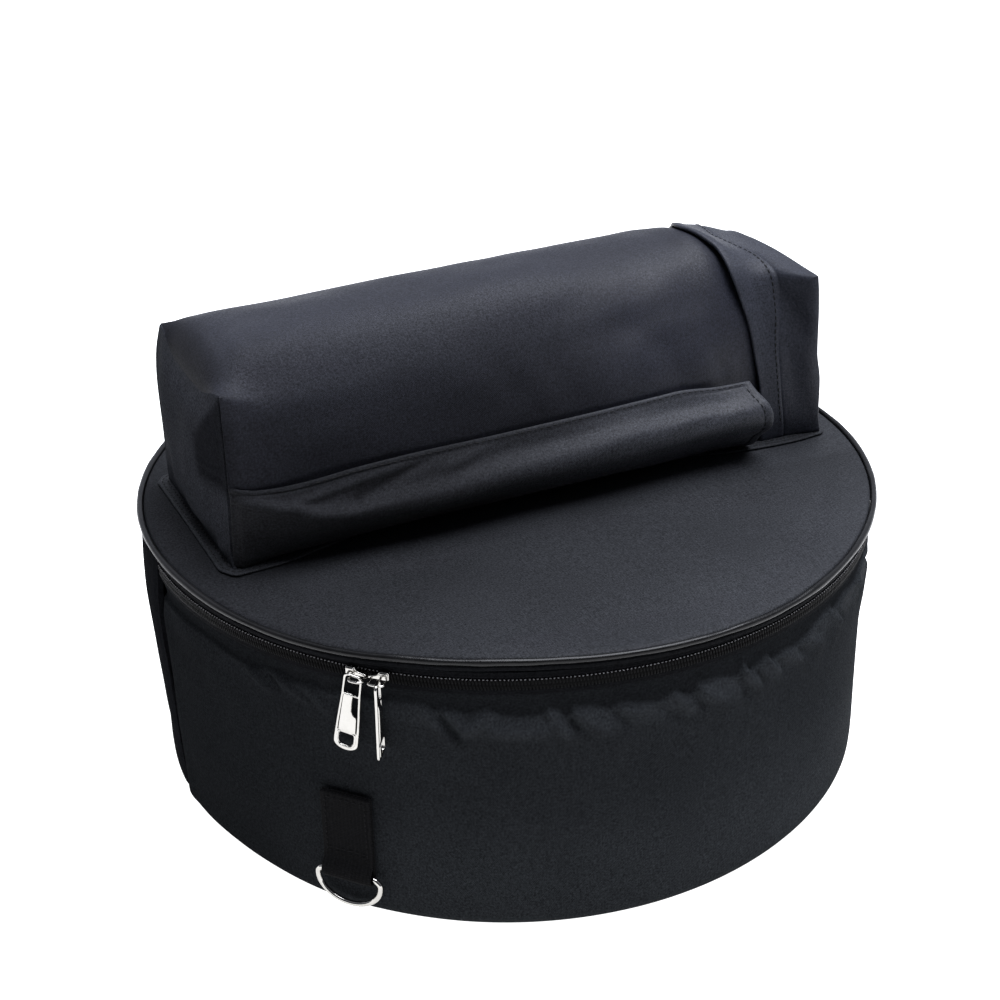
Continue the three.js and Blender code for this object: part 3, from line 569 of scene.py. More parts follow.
def webbing_material(name, base):
    """Ribbed webbing: fine crosswise yarns and broad lengthwise ribs."""
    n = Nodes(name)
    weave = n.add("ShaderNodeAttribute", attribute_name="weave").outputs["Vector"]
    place = n.add("ShaderNodeTexCoord").outputs["Object"]
    apart = n.add("ShaderNodeSeparateXYZ")
    n.link(weave, apart.inputs[0])
    u, v = apart.outputs[0], apart.outputs[1]
    rib = n.maths("SINE", n.maths("MULTIPLY", v, 2 * math.pi / 1.9))
    slant = n.maths("ADD", n.maths("MULTIPLY", u, 1.0), n.maths("MULTIPLY", n.maths("ABSOLUTE", rib), 0.35))
    fine = n.maths("SINE", n.maths("MULTIPLY", slant, 2 * math.pi / 0.95))
    grain = n.noise(place, 1100.0, 2.0, 0.7)
    knit = n.maths("ADD", n.maths("MULTIPLY", rib, 0.5), n.maths("MULTIPLY", fine, 0.5))
    tone = n.maths("MULTIPLY", n.span(knit, -1, 1, 0.72, 1.28), n.span(grain, 0.25, 0.75, 0.6, 1.4))
    colour = n.add("ShaderNodeVectorMath", operation="SCALE")
    colour.inputs[0].default_value = (base, base, base * 1.06)
    n.link(tone, colour.inputs["Scale"])
    n.link(colour.outputs[0], n.bsdf.inputs["Base Color"])
    rise = n.add("ShaderNodeBump")
    rise.inputs["Strength"].default_value = 0.5
    rise.inputs["Distance"].default_value = 0.0003
    n.link(n.maths("ADD", knit, n.maths("MULTIPLY", grain, 0.8)), rise.inputs["Height"])
    n.link(rise.outputs[0], n.bsdf.inputs["Normal"])
    n.set(Roughness=0.75, Specular_IOR_Level=0.02)
    return n.material


def plastic(name, base, rough, bump=0.12, scale=420.0, specular=0.5, coat=0.0, scuff=0.12):
    """Moulded or coated plastic with faint ripples and slightly uneven gloss."""
    n = Nodes(name)
    place = n.add("ShaderNodeTexCoord").outputs["Object"]
    ripple = n.noise(place, scale, 3.0, 0.6)
    scuffs = n.noise(place, 90.0, 4.0, 0.65)
    colour = n.add("ShaderNodeVectorMath", operation="SCALE")
    colour.inputs[0].default_value = (base, base, base * 1.05)
    n.link(n.span(scuffs, 0.25, 0.75, 0.75, 1.3), colour.inputs["Scale"])
    n.link(colour.outputs[0], n.bsdf.inputs["Base Color"])
    rise = n.add("ShaderNodeBump")
    rise.inputs["Strength"].default_value = bump
    rise.inputs["Distance"].default_value = 0.0004
    n.link(ripple, rise.inputs["Height"])
    n.link(rise.outputs[0], n.bsdf.inputs["Normal"])
    # the third number of the weave coordinates says how matt the piece is there
    apart = n.add("ShaderNodeSeparateXYZ")
    n.link(n.add("ShaderNodeAttribute", attribute_name="weave").outputs["Vector"], apart.inputs[0])
    gloss = n.maths("ADD", n.span(scuffs, 0.3, 0.7, rough, rough + scuff), n.maths("MULTIPLY", apart.outputs[2], 0.62))
    n.link(gloss, n.bsdf.inputs["Roughness"])
    n.set(Specular_IOR_Level=specular, Coat_Weight=coat, Coat_Roughness=0.12)
    return n.material


def metal(name, base, rough, dull=0.16):
    """Plated metal with faint handling marks and slightly uneven polish."""
    n = Nodes(name)
    place = n.add("ShaderNodeTexCoord").outputs["Object"]
    marks = n.noise(place, 260.0, 5.0, 0.7)
    cast = n.noise(place, 700.0, 2.0, 0.5)
    colour = n.add("ShaderNodeVectorMath", operation="SCALE")
    colour.inputs[0].default_value = base
    n.link(n.span(marks, 0.2, 0.8, 0.9, 1.03), colour.inputs["Scale"])
    n.link(colour.outputs[0], n.bsdf.inputs["Base Color"])
    n.link(n.span(marks, 0.3, 0.75, rough, rough + dull), n.bsdf.inputs["Roughness"])
    rise = n.add("ShaderNodeBump")
    rise.inputs["Strength"].default_value = 0.06
    rise.inputs["Distance"].default_value = 0.0003
    n.link(cast, rise.inputs["Height"])
    n.link(rise.outputs[0], n.bsdf.inputs["Normal"])
    n.set(Metallic=1.0)
    return n.material


# The pocket's pieces are all one nylon: the different base colours of its main, end, cuff and lip copies are painted
# light and shade, set so each piece shows the brightness its place in the light gives it.
CLOTH = fabric("pocket_nylon", 0.0109, specular=0.15, rough=0.50, speckle=0.7, tint=(0.85, 0.92, 1.36))
END_CLOTH = fabric("pocket_end_nylon", 0.026, specular=0.001, low=0.25)
CUFF_CLOTH = fabric("pocket_cuff_nylon", 0.0210, specular=0.13, rough=0.50, tint=(0.87, 0.95, 1.28))
LID_CLOTH = fabric("lid_nylon", 0.0185, tint=(0.92, 0.965, 1.09), specular=0.05)
WALL_CLOTH = fabric("wall_nylon", 0.0174, specular=0.001, slub=0.35, tint=(0.92, 1.01, 1.11))
HINGE_CLOTH = fabric("hinge_nylon", 0.0125, low=0.45, specular=0.001)
LIP_CLOTH = fabric("pocket_lip_nylon", 0.0213, low=0.25, tint=(0.90, 0.96, 1.18), specular=0.15, rough=0.45, speckle=0.8, bump=0.65)
TAPE = fabric("zip_tape_weave", 0.0040, pitch=0.7, contrast=0.4, rough=0.8, sheen=0.0, bump=0.3, specular=0.02)
WEBBING = webbing_material("webbing_weave", 0.0045)
PIPING = plastic("piping_gloss", 0.004, 0.20, bump=0.25, scale=300.0, specular=0.16)
COIL = plastic("coil_plastic", 0.0017, 0.40, bump=0.05, specular=0.035)
THREAD = plastic("stitch_thread", 0.007, 0.55, bump=0.1, scale=1500.0, specular=0.08)
DARK_THREAD = plastic("tab_thread", 0.0055, 0.6, bump=0.1, scale=1500.0, specular=0.03)
# light grey thread: painted highlight for the glints along the coil's upper side
COIL_THREAD_PAINTED_GLINT = plastic("coil_thread_painted_glint", 0.10, 0.5, bump=0.1, scale=1500.0, specular=0.3)
NICKEL = metal("nickel_plate", (0.44, 0.428, 0.40), 0.07, dull=0.12)

# ---------------------------------------------------------------- shapes shared with the part
LID_R, LID_UNDER, LID_CROWN, LID_EDGE = 187.0, -4.6, 1.6, 1.0
PIPE_R, PIPE_WIRE, GAP = 188.9, 1.6, 0.3
SEAM_A, SEAM_B = -180.0, 90.0
TAPE_R, TAPE_T = 186.4, 0.9
COIL_R, COIL_Z, COIL_H = 187.1, -10.4, 4.4
FLANGE_T = 1.4

RIM_WAVE = [[-360, 0], [-215, 0], [-181, 0.8], [-146, -1.6], [-118, 1.6], [-76, -1.5], [-50, 0.2], [0, 0], [360, 0]]


def rim_wave(az):
    az = np.asarray(az, float)
    return steps(RIM_WAVE, np.where(az > 145, az - 360, az), 1)


def lid_top(r):
    return LID_EDGE + LID_CROWN * (1 - (r / LID_R) ** 2)


def wave_at(x, y):
    return rim_wave(np.degrees(np.arctan2(y, x))) * smooth(150, LID_R, np.hypot(x, y))


def foot_z(x, y):
    return lid_top(np.hypot(x, y)) + np.maximum(0, wave_at(x, y)) + FLANGE_T + 2 * GAP + 0.1


def at_rim(points):
    """From heights above the rim's plane to heights above the floor."""
    return np.asarray(points, float) + np.array([0, 0, RIM])


# ---------------------------------------------------------------- lid
lid_waves = Waves(11, 35, 130, stretch=(1, 1, 4))
pocket_box = (-174.0, 178.0, -62.0, 80.0)


def away_from_pocket(x, y, reach=26.0):
    x0, x1, y0, y1 = pocket_box
    gap = np.hypot(np.maximum(np.maximum(x0 - x, x - x1), 0), np.maximum(np.maximum(y0 - y, y - y1), 0))
    return smooth(0, reach, gap)


def make_lid():
    columns = 540
    az = np.linspace(-180, 180, columns, endpoint=False)[:, None]
    radii = np.concatenate([np.linspace(4, 150, 42), np.linspace(152.5, 184, 20)])[None]
    x, y = radii * np.cos(rad(az)), radii * np.sin(rad(az))
    flat = np.stack([x, y, np.zeros_like(x)], -1)
    z = lid_top(radii) + wave_at(x, y)
    free = away_from_pocket(x, y)
    z = z + 0.32 * free * lid_waves(flat) * (1 - smooth(176, 186, radii))
    # the padded edge stands up a little beside the piping, with a faint channel inside it
    z = z + free * (0.35 * bell(radii - 176, 7) - 0.25 * bell(radii - 164, 7))
    top = np.stack([x, y, z], -1)
    edge = []
    for r, dz in ((185.2, -0.05), (186.1, -0.3), (186.7, -0.75), (187.0, -1.4), (187.0, -3.2), (186.5, -4.2), (185.6, -5.6 + 0.0)):
        edge.append(ring(az, r, lid_top(185) + dz + wave_at(r * np.cos(rad(az)), r * np.sin(rad(az)))))
    under = []
    for r in (180, 150, 100, 50, 4):
        under.append(ring(az, r, LID_UNDER + wave_at(r * np.cos(rad(az)), r * np.sin(rad(az)))))
    rows = np.concatenate([top] + edge + under, axis=1)
    n, c = rows.shape[:2]
    v = at_rim(rows).reshape(-1, 3)
    i = np.arange(n)[:, None]
    j = np.arange(c - 1)[None]
    quads = np.stack([i * c + j, i * c + j + 1, ((i + 1) % n) * c + j + 1, ((i + 1) % n) * c + j], -1).reshape(-1, 4)
    centre_top = np.array([[0, 0, RIM + lid_top(0)]])
    centre_low = np.array([[0, 0, RIM + LID_UNDER]])
    v = np.concatenate([v, centre_top, centre_low])
    k = np.arange(n)
    tris = np.concatenate([
        np.stack([np.full(n, n * c), k * c, ((k + 1) % n) * c], -1),
        np.stack([np.full(n, n * c + 1), ((k + 1) % n) * c + c - 1, k * c + c - 1], -1)])
    # painted shade: the cloth's colour is darkened towards the left and beside the pocket's front, so it looks lit from
    # the right and the front; it is rougher there too
    gx, gy = v[:, 0], v[:, 1]
    dull = np.clip(0.38 - np.where(gx > 0, 0.0026, 0.0022) * gx + 0.006 * (gy + 118) * smooth(-60, -70, gy), 0.0, 0.75)
    shape = Shape().add(v, quads, tris, np.concatenate([v[:, :2], dull[:, None]], 1))
    obj = shape.build("lid_cloth", LID_CLOTH, "cloth", stands_for=["lid_panel"])


make_lid()

# ---------------------------------------------------------------- piping


def make_piping():
    columns = 1080
    az = np.linspace(-180, 180, columns, endpoint=False)
    bead = [[PIPE_R + 1.6 * math.cos(rad(a)), 1.6 * math.sin(rad(a))] for a in np.linspace(150, -62, 15)]
    bead += [[188.6, -1.72], [187.8, -1.7], [187.35, -1.5], [187.33, -0.4], [187.38, 0.5]]
    flange = [[188.3, -1.78], [188.9, -1.85], [189.0, -2.15], [189.22, -2.32], [189.3, -2.6], [189.25, -3.1], [189.1, -3.7],
              [188.95, -4.3], [188.7, -4.6], [187.9, -4.6], [187.35, -4.4], [187.33, -3.0], [187.35, -1.9], [187.8, -1.78]]
    path = ring(az, PIPE_R, 0.0)
    swell = 1 + 0.05 * Waves(21, 9, 45)(path)
    shift = rim_wave(az) + 0.10 * Waves(22, 14, 60)(path)
    matt = np.where(az < 0, 0.3 * (1 - smooth(-166, -140, az)), 0.15)
    for section, name, material, grow, pieces in ((np.array(bead), "piping_bead", PIPING, swell, ["lid_piping"]),
                                                  (np.array(flange), "piping_flange", TAPE, 0 * swell + 1, [])):
        r = np.maximum(PIPE_R + (section[None, :, 0] - PIPE_R) * grow[:, None], 187.32)
        z = section[None, :, 1] * grow[:, None] + shift[:, None]
        u = np.broadcast_to((rad(az) * PIPE_R)[:, None], r.shape)
        v = np.broadcast_to(path_length(section)[None], r.shape)
        weave = np.stack([u, v, np.broadcast_to(matt[:, None], r.shape)], -1)
        sweep(at_rim(ring(az[:, None], r, z)), loop=True, weave=weave).build(name, material, "piping", stands_for=pieces)


make_piping()

# ---------------------------------------------------------------- zip


def make_zip():
    az = np.linspace(SEAM_A + 0.1, SEAM_B - 0.1, 800)
    path = ring(az, 187, 0.0)
    drift = 0.12 * Waves(31, 40, 160)(path)
    for name, low, high, node in (("tape_upper", COIL_Z + COIL_H / 2 + 0.25, -5.0, "zip_tape_upper"),
                                  ("tape_lower", -16.0, COIL_Z - COIL_H / 2 - 0.25, "zip_tape_lower")):
        z = np.linspace(low, high, 8)[None]
        # a shallow selvedge rib runs beside the teeth
        beside = high if name == "tape_lower" else low
        rib = 0.28 * bell(z - (beside + (-0.9 if name == "tape_lower" else 0.9)), 0.45)
        r = TAPE_R + TAPE_T / 2 - 0.1 + rib + 0.0 * az[:, None]
        grid = ring(az[:, None], r, z + 0 * drift[:, None])
        obj = shell(at_rim(grid), 0.7, turns=3).build(f"zip_{name}", TAPE, "tape", stands_for=[node])
    # coil: two rows of loops, half a pitch apart, over a woven core
    pitch = 1.5
    step = math.degrees(pitch / 187.5)
    count = int((SEAM_B - SEAM_A - 0.5) / step)
    base = SEAM_A + 0.3 + np.arange(count) * step
    shape = Shape()
    core = at_rim(ring(az[:, None], np.array([186.3, 187.0, 187.25, 187.25, 187.0, 186.3])[None], COIL_Z + np.array([2.1, 2.15, 1.3, -2.0, -2.95, -2.9])[None] + 0 * az[:, None]))
    sweep(core, shape=shape)
    for side, lag in ((1, 0.0), (-1, 0.5)):
        t = np.array([0.0, 0.16, 0.36, 0.6, 0.82, 1.0])
        z = COIL_Z - (0.85 if side < 0 else 0.0) + side * np.array([2.2, 2.12, 1.5, 0.55, -0.35, -0.75])
        r = np.array([186.75, 187.35, 187.62, 187.62, 187.5, 187.25])
        lean = (t - 0.4) * 0.5 * step * side
        a = base[:, None] + lag * step + lean[None]
        a = np.clip(a, SEAM_A + 0.15, SEAM_B - 0.15)
        p = at_rim(ring(a, r[None], z[None] + 0 * a))
        outward = ring(base, 1.0, 0.0)
        strands(p, np.array([0.40, 0.50, 0.50, 0.46, 0.50, 0.34]), outward, sides=6, flat=0.75, shape=shape)
    shape.build("zip_teeth", COIL, "coil", stands_for=["zip_coil"])
    # the thread that holds the coil shows as a row of dots along its upper side; its light grey colour is a painted
    # highlight for the glints on the tops of the loops
    dots = at_rim(ring(az, 187.72, COIL_Z + 2.2))
    sew(dots, ring(az, 1.0, 0.0), pitch=1.8, length=0.6, width=0.30, sink=0.06, seed=33, wander=0.04).build("zip_thread_painted_glint", COIL_THREAD_PAINTED_GLINT, "coil")


make_zip()

# ---------------------------------------------------------------- wall
# Upper edge of the padding, as a depth below the rim's plane. It is gathered onto the zip.
SHOULDER = [
    [-180, 24.5], [-172, 23.6], [-165, 23.0], [-158, 24.8], [-154.2, 25.2], [-151, 23.0], [-148.9, 23.0], [-146.5, 24.8], [-145, 23.0],
    [-141, 24.6], [-138, 22.8], [-134, 23.6], [-132.1, 22.4], [-127.2, 22.4], [-125.9, 25.8], [-124.5, 24.0], [-121.5, 26.4],
    [-118.6, 23.8], [-117.2, 26.6], [-114, 28.2], [-111.5, 27.8], [-110.6, 24.0], [-109.2, 25.8], [-108.2, 29.4], [-107.2, 24.0],
    [-104.5, 25.0], [-102.2, 28.0], [-100.8, 25.3], [-98.1, 27.3], [-95, 28.8], [-92.8, 25.5], [-91.4, 28.4], [-90, 30.0],
    [-89.1, 25.0], [-86.3, 25.3], [-82.5, 28.4], [-81.3, 23.4], [-80.1, 28.2], [-76.9, 24.2], [-75.7, 28.4], [-73, 27.0],
    [-70.4, 28.5], [-68.5, 27.0], [-66.8, 25.2], [-61.4, 21.2], [-60, 24.6], [-56, 22.4], [-51, 24.8], [-47, 22.6], [-42, 24.6],
    [-36, 22.2], [-31, 24.4], [-25, 22.8], [-18, 25.0], [-12, 22.6], [-5, 24.8], [0, 23.0], [7, 25.2], [13, 22.6], [20, 24.8],
    [26, 23.2], [33, 25.0], [41, 22.4], [47, 24.6], [55, 23.0], [62, 25.2], [70, 22.8], [77, 24.8], [84, 23.2], [90, 24.5],
]
# Diagonal folds below it: azimuth and depth of both ends, half width, height (negative: a hollow).
FOLDS = {
    "columns": ["az0", "down0", "az1", "down1", "half_width", "height"],
    "rows": [
        [-154.6, 26.0, -151.4, 32.0, 3.0, 0.9], [-149.2, 24.0, -145.6, 30.0, 2.8, 1.0], [-145.2, 24.0, -141.2, 34.0, 3.0, 1.0],
        [-151.9, 25.0, -149.5, 31.0, 2.4, -0.9], [-146.9, 25.0, -144.2, 31.0, 2.2, -0.8],
        [-127.3, 23.5, -124.0, 40.0, 2.8, 1.0], [-126.2, 24.0, -122.9, 38.0, 2.2, -1.3],
        [-124.6, 25.0, -121.6, 33.0, 2.6, 1.1], [-121.4, 33.0, -118.4, 25.0, 2.6, 0.9], [-121.5, 24.0, -121.3, 28.5, 3.0, -1.0],
        [-118.8, 33.5, -111.0, 35.0, 3.6, 1.2], [-117.0, 27.0, -111.0, 28.5, 2.6, -1.3],
        [-110.8, 25.0, -107.4, 39.0, 2.8, 1.2], [-109.4, 25.0, -106.9, 34.0, 2.0, -1.3],
        [-107.3, 25.0, -102.8, 39.0, 3.4, 1.1], [-102.6, 26.0, -99.9, 36.0, 2.2, -1.1],
        [-100.9, 26.0, -97.6, 31.0, 2.8, 0.9], [-95.2, 30.0, -92.4, 40.0, 3.0, -0.9],
        [-92.9, 26.0, -90.6, 36.0, 2.6, 0.9], [-90.2, 28.0, -88.3, 37.0, 2.0, -1.1],
        [-89.0, 26.0, -85.4, 37.0, 3.2, 1.0], [-83.2, 28.0, -80.6, 39.0, 2.4, -1.0],
        [-81.4, 24.5, -79.0, 36.0, 2.4, 1.0], [-79.8, 27.0, -77.8, 37.0, 1.9, -1.0],
        [-77.0, 25.0, -74.6, 35.0, 2.6, 1.0], [-75.4, 27.5, -73.2, 37.0, 1.9, -0.9],
        [-73.0, 28.0, -70.0, 36.0, 2.6, 0.8], [-70.4, 28.0, -68.0, 36.0, 1.9, -0.8], [-68.6, 27.0, -64.0, 37.0, 3.0, 0.9],
        [-61.5, 22.0, -58.6, 33.0, 2.8, 1.0], [-60.0, 24.0, -57.4, 33.0, 2.0, -0.9],
        [-50.0, 24.0, -46.0, 36.0, 3.0, 0.8], [-41.5, 24.5, -38.5, 35.0, 2.4, -0.8], [-30.0, 24.0, -26.5, 35.0, 3.0, 0.8],
        [-17.5, 25.0, -14.0, 35.0, 2.6, -0.8], [-4.0, 24.0, -0.5, 36.0, 3.0, 0.8], [8.0, 25.0, 11.5, 35.0, 2.6, -0.8],
        [21.0, 24.0, 24.5, 36.0, 3.0, 0.8], [34.0, 25.0, 37.0, 35.0, 2.6, -0.8], [48.0, 24.0, 51.5, 36.0, 3.0, 0.8],
        [62.5, 25.0, 66.0, 35.0, 2.6, -0.8], [77.0, 24.0, 80.5, 36.0, 3.0, 0.8],
    ],
}
wall_waves = Waves(41, 60, 240, stretch=(1, 1, 1.6))
wall_small = Waves(42, 14, 46, stretch=(1, 1, 1.8))


def wall_radius(az, down):
    """Outer radius of the padded wall at an azimuth and a depth below the rim's plane."""
    edge = curve(SHOULDER, az)
    below = down - edge
    r = 186.95 - 0.85 * smooth(16.5, 21, down)
    r = r + 1.75 * smooth(-0.8, 1.8, below) + 0.75 * smooth(1.5, 9.0, below)
    r = r - 0.35 * smooth(8, 22, below) - 0.75 * smooth(38, 70, down)
    p = ring(az, 187.0, -down)
    mm = rad(az) * 187.0
    rows = [[rad(a0) * 187, d0, rad(a1) * 187, d1, w, h] for a0, d0, a1, d1, w, h in FOLDS["rows"]]
    folds = crease(mm, down, rows) * smooth(-0.5, 3.5, below)
    r = r + 1.9 * folds
    r = r + 0.55 * wall_waves(p) * smooth(20, 60, down) * (1 - smooth(125, 142, down))
    r = r + 0.5 * wall_small(p) * smooth(0, 6, below) * (1 - smooth(14, 40, below))
    # the cloth is drawn in along the two upright seams
    for seam in (SEAM_A, SEAM_B):
        gap = np.abs(az - seam) * 3.26
        r = r - 1.2 * bell(gap, 3.0) + (0.7 if seam == SEAM_A else 0.0) * bell(gap - 8.0, 5.0) * smooth(24, 40, down)
    # flat where the right pull hangs at the end of its slider's travel
    r = mix(r, 186.3 + 0 * r, smooth(81, 85, az) * smooth(17, 21, down) * (1 - smooth(60, 84, down)))
    # the foot is drawn in towards the left
    return r - (0.8 + 1.4 * smooth(-178, -162, az)) * smooth(95, 130, down) * (1 - smooth(-158, -136, az))


def wall_painted_shade_and_matt(az, down):
    """How dull the cloth is, and so how dark: painted shade, darkest in the recess under the zip and towards the left,
    with painted light low down and on the puckers.
    """
    below = down - curve(SHOULDER, az)
    left = curve([[-180, 0.92], [-165, 0.86], [-150, 0.78], [-135, 0.66], [-120, 0.58], [-100, 0.50], [-75, 0.46], [-50, 0.38], [90, 0.38]], az)
    d = mix(left + 0 * down, 0.10, smooth(62, 128, down) * smooth(-160, -125, az))
    d = mix(d, 0.0, (0.2 + 0.75 * smooth(-145, -116, az)) * smooth(-0.3, 1.4, below) * (1 - smooth(5, 14, below)))
    return mix(0.95, d, smooth(-1.0, 0.4, below))


def make_wall():
    az = np.unique(np.concatenate([np.arange(SEAM_A + 0.15, -137, 0.42), np.arange(-137, -55, 0.235), np.arange(-55, SEAM_B - 0.15, 0.55), [SEAM_B - 0.015]]))
    down = np.concatenate([np.linspace(15.7, 21, 5), np.linspace(22, 44, 31), np.linspace(46, 60, 8), np.linspace(64, 128, 18), [132.0, 135.0]])
    grid_az = az[:, None]
    r = wall_radius(grid_az, down[None])
    # rounded top lip of the cloth, then the outer face
    outer = ring(grid_az, r, -down[None] + 0 * grid_az)
    r_low = r[:, -1]
    corner = []
    for a in np.linspace(12, 90, 9):
        rr = r_low - 9.0 * (1 - math.cos(rad(a)))
        zz = -(137.2 + 9.6 * math.sin(rad(a)))
        corner.append(ring(az, rr, zz))
    corner = np.stack(corner, 1)
    inner_low = ring(az[:, None], np.array([176.8, 176.7, 176.9])[None], -np.array([146.6, 145.0, 142.2])[None] + 0 * grid_az)
    inner = ring(az[:, None], np.array([178.2, 180.0, 181.4, 181.6, 181.6, 181.6, 181.5, 181.7, 182.5, 184.0])[None],
                 -np.array([141.0, 138.0, 132.0, 110.0, 84.0, 56.0, 34.0, 24.0, 17.0, 15.6])[None] + 0 * grid_az)
    top = ring(az[:, None], np.array([185.6, 186.6])[None], -np.array([15.3, 15.4])[None] + 0 * grid_az)
    section = np.concatenate([outer, corner, inner_low, inner, top], axis=1)
    if section.shape[1] % 2:
        section = np.concatenate([section, section[:, -1:] + (section[:, 0:1] - section[:, -1:]) * 0.5], axis=1)
    section = at_rim(section)
    u = np.broadcast_to((rad(az) * 187.0)[:, None], section.shape[:2])
    v = np.broadcast_to(path_length(section[len(az) // 2])[None], section.shape[:2])
    dull = np.full(section.shape[:2], 0.5)
    dull[:, :len(down)] = wall_painted_shade_and_matt(grid_az, down[None])
    dull[:, len(down):len(down) + corner.shape[1]] = dull[:, len(down) - 1:len(down)]
    obj = sweep(section, weave=np.stack([u, v, dull], -1)).build("wall_cloth", WALL_CLOTH, "padding_cloth", stands_for=["side_wall"])


make_wall()

# ---------------------------------------------------------------- hinge panel
HINGE_OUTLINE = [
    [5.2, 188.4], [14, 189.4], [22, 190.0], [30, 190.4], [40, 190.6], [50, 190.2], [61, 189.6], [75, 189.0], [90, 188.2], [104, 187.6],
    [112, 186.9], [122, 187.3], [134, 187.2],
]
hinge_waves = Waves(51, 40, 150, stretch=(1, 1, 2.6))


def make_hinge():
    az = np.linspace(SEAM_B + 0.015, SEAM_A + 360 - 0.15, 340)
    down = np.linspace(5.2, 134, 62)
    g = az[:, None]
    r = curve(HINGE_OUTLINE, down)[None] + 0 * g
    p = ring(g, 187.0, -down[None] + 0 * g)
    soft = smooth(8, 30, down)[None] * (1 - smooth(120, 134, down))[None]
    r = r + 0.7 * hinge_waves(p) * soft
    for seam in (SEAM_B, SEAM_A + 360):
        gap = np.abs(g - seam) * 3.28
        r = r - 1.0 * bell(gap, 3.0)
    r = r - 0.8 * smooth(95, 130, down)[None] * smooth(150, 172, g)
    outer = ring(g, r, -down[None] + 0 * g)
    corner = []
    for a in np.linspace(12, 90, 9):
        corner.append(ring(az, r[:, -1] - 9.0 * (1 - math.cos(rad(a))), -(137.2 + 9.6 * math.sin(rad(a)))))
    corner = np.stack(corner, 1)
    low = ring(g, np.array([178.0, 179.4])[None], -np.array([144.2, 142.6])[None] + 0 * g)
    inner_down = np.linspace(136, 8, 20)
    inner_r = np.interp(inner_down[None], down, np.zeros_like(down)) + 0 * g
    keep = np.stack([np.interp(inner_down, down, r[i]) for i in range(len(az))]) - 2.8
    keep = np.minimum(keep, 187.2 - 2.8 + 3.0 * (1 - smooth(134, 142, inner_down))[None])
    inner = ring(g, keep - 2.0 * smooth(128, 138, inner_down)[None], -inner_down[None] + 0 * g)
    section = np.concatenate([outer, corner, low, inner], axis=1)
    if section.shape[1] % 2:
        section = np.concatenate([section, section[:, -1:] + (section[:, 0:1] - section[:, -1:]) * 0.5], axis=1)
    section = at_rim(section)
    u = np.broadcast_to((rad(az) * 187.0)[:, None], section.shape[:2])
    v = np.broadcast_to(path_length(section[len(az) // 2])[None], section.shape[:2])
    # painted shade: the hinge cloth is darkened, and made rougher, towards its seam at SEAM_A
    dull = np.broadcast_to(smooth(158, 174, g), section.shape[:2])
    obj = sweep(section, weave=np.stack([u, v, dull], -1)).build("hinge_cloth", HINGE_CLOTH, "cloth", stands_for=["hinge_panel"])


make_hinge()

# ---------------------------------------------------------------- base


def make_base():
    columns = 240
    az = np.linspace(-180, 180, columns, endpoint=False)[:, None]
    profile = rounded([[8, 0.0], [60, 0.0], [120, 0.0], [170, 0.0], [174.6, 0.35], [176.1, 1.6], [176.2, 3.2], [175.2, 4.6],
                       [172, 4.9], [160, 4.7], [100, 4.8], [50, 4.8], [8, 4.9]], 8)
    profile = resample(profile, 96, None)
    r = profile[None, :, 0] + 0 * az
    p = ring(az, r, profile[None, :, 1] + 0 * az)
    dip = Waves(61, 40, 120)(p)
    inside = (profile[:, 1] > 4.0)[None]
    p[..., 2] = np.where(inside, p[..., 2] + 0.12 * dip - 0.1, p[..., 2])
    n, c = p.shape[:2]
    v = p.reshape(-1, 3)
    i, j = np.arange(n)[:, None], np.arange(c - 1)[None]
    quads = np.stack([i * c + j, i * c + j + 1, ((i + 1) % n) * c + j + 1, ((i + 1) % n) * c + j], -1).reshape(-1, 4)
    v = np.concatenate([v, [[0, 0, 0.0]], [[0, 0, 4.8]]])
    k = np.arange(n)
    tris = np.concatenate([np.stack([np.full(n, n * c), k * c, ((k + 1) % n) * c], -1),
                           np.stack([np.full(n, n * c + 1), ((k + 1) % n) * c + c - 1, k * c + c - 1], -1)])
    obj = Shape().add(v, quads, tris, np.concatenate([v[:, :2], np.full((len(v), 1), 0.5)], 1)).build("base_cloth", WALL_CLOTH, "padding_cloth", stands_for=["base_panel"])


make_base()



def cut(obj, grid, held, rests_on):
    """Works out the flat size of a sewn piece of cloth's grid, and does nothing more with it."""
    width = float(np.linalg.norm(np.diff(grid, axis=0), axis=-1).sum(0).max()) * MM
    length = float(np.linalg.norm(np.diff(grid, axis=1), axis=-1).sum(1).max()) * MM
    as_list(rests_on)


# ---------------------------------------------------------------- pocket: main panel
PANEL_COLUMNS = ["x", "yLow", "yHem", "yShoulder", "zShoulder", "yTop", "zTop", "yBackShoulder", "zBackShoulder", "yBack"]
PANEL_SECTIONS = [
    [-159.4, -41.0, -44.5, -43.8, 91.0, 0, 96.0, 48.5, 94.2, 65.5],
    [-140.0, -40.0, -45.0, -42.2, 84.0, 4, 101.0, 48.5, 94.4, 66.0],
    [-90.0, -37.0, -45.0, -40.0, 79.0, 8, 103.6, 48.5, 95.4, 66.5],
    [-20.0, -34.0, -44.6, -37.5, 77.0, 10, 105.2, 48, 97.2, 66.5],
    [40.0, -34.0, -43.8, -34.5, 76.0, 12, 106.2, 48, 98.2, 66.5],
    [95.0, -35.0, -41.5, -31.0, 76.0, 14, 106.6, 48, 98.5, 66.0],
    [111.0, -35.0, -37.2, -28.0, 78.5, 12, 108.2, 46, 98, 65.0],
    [122.0, -35.0, -34.2, -25.5, 78.5, 11, 107.2, 45, 95, 64.0],
    [148.0, -34.0, -31.5, -22.0, 74.0, 15, 95.0, 42, 88, 61.5],
]
LOW_Z, HEM_Z = 11.0, 46.0
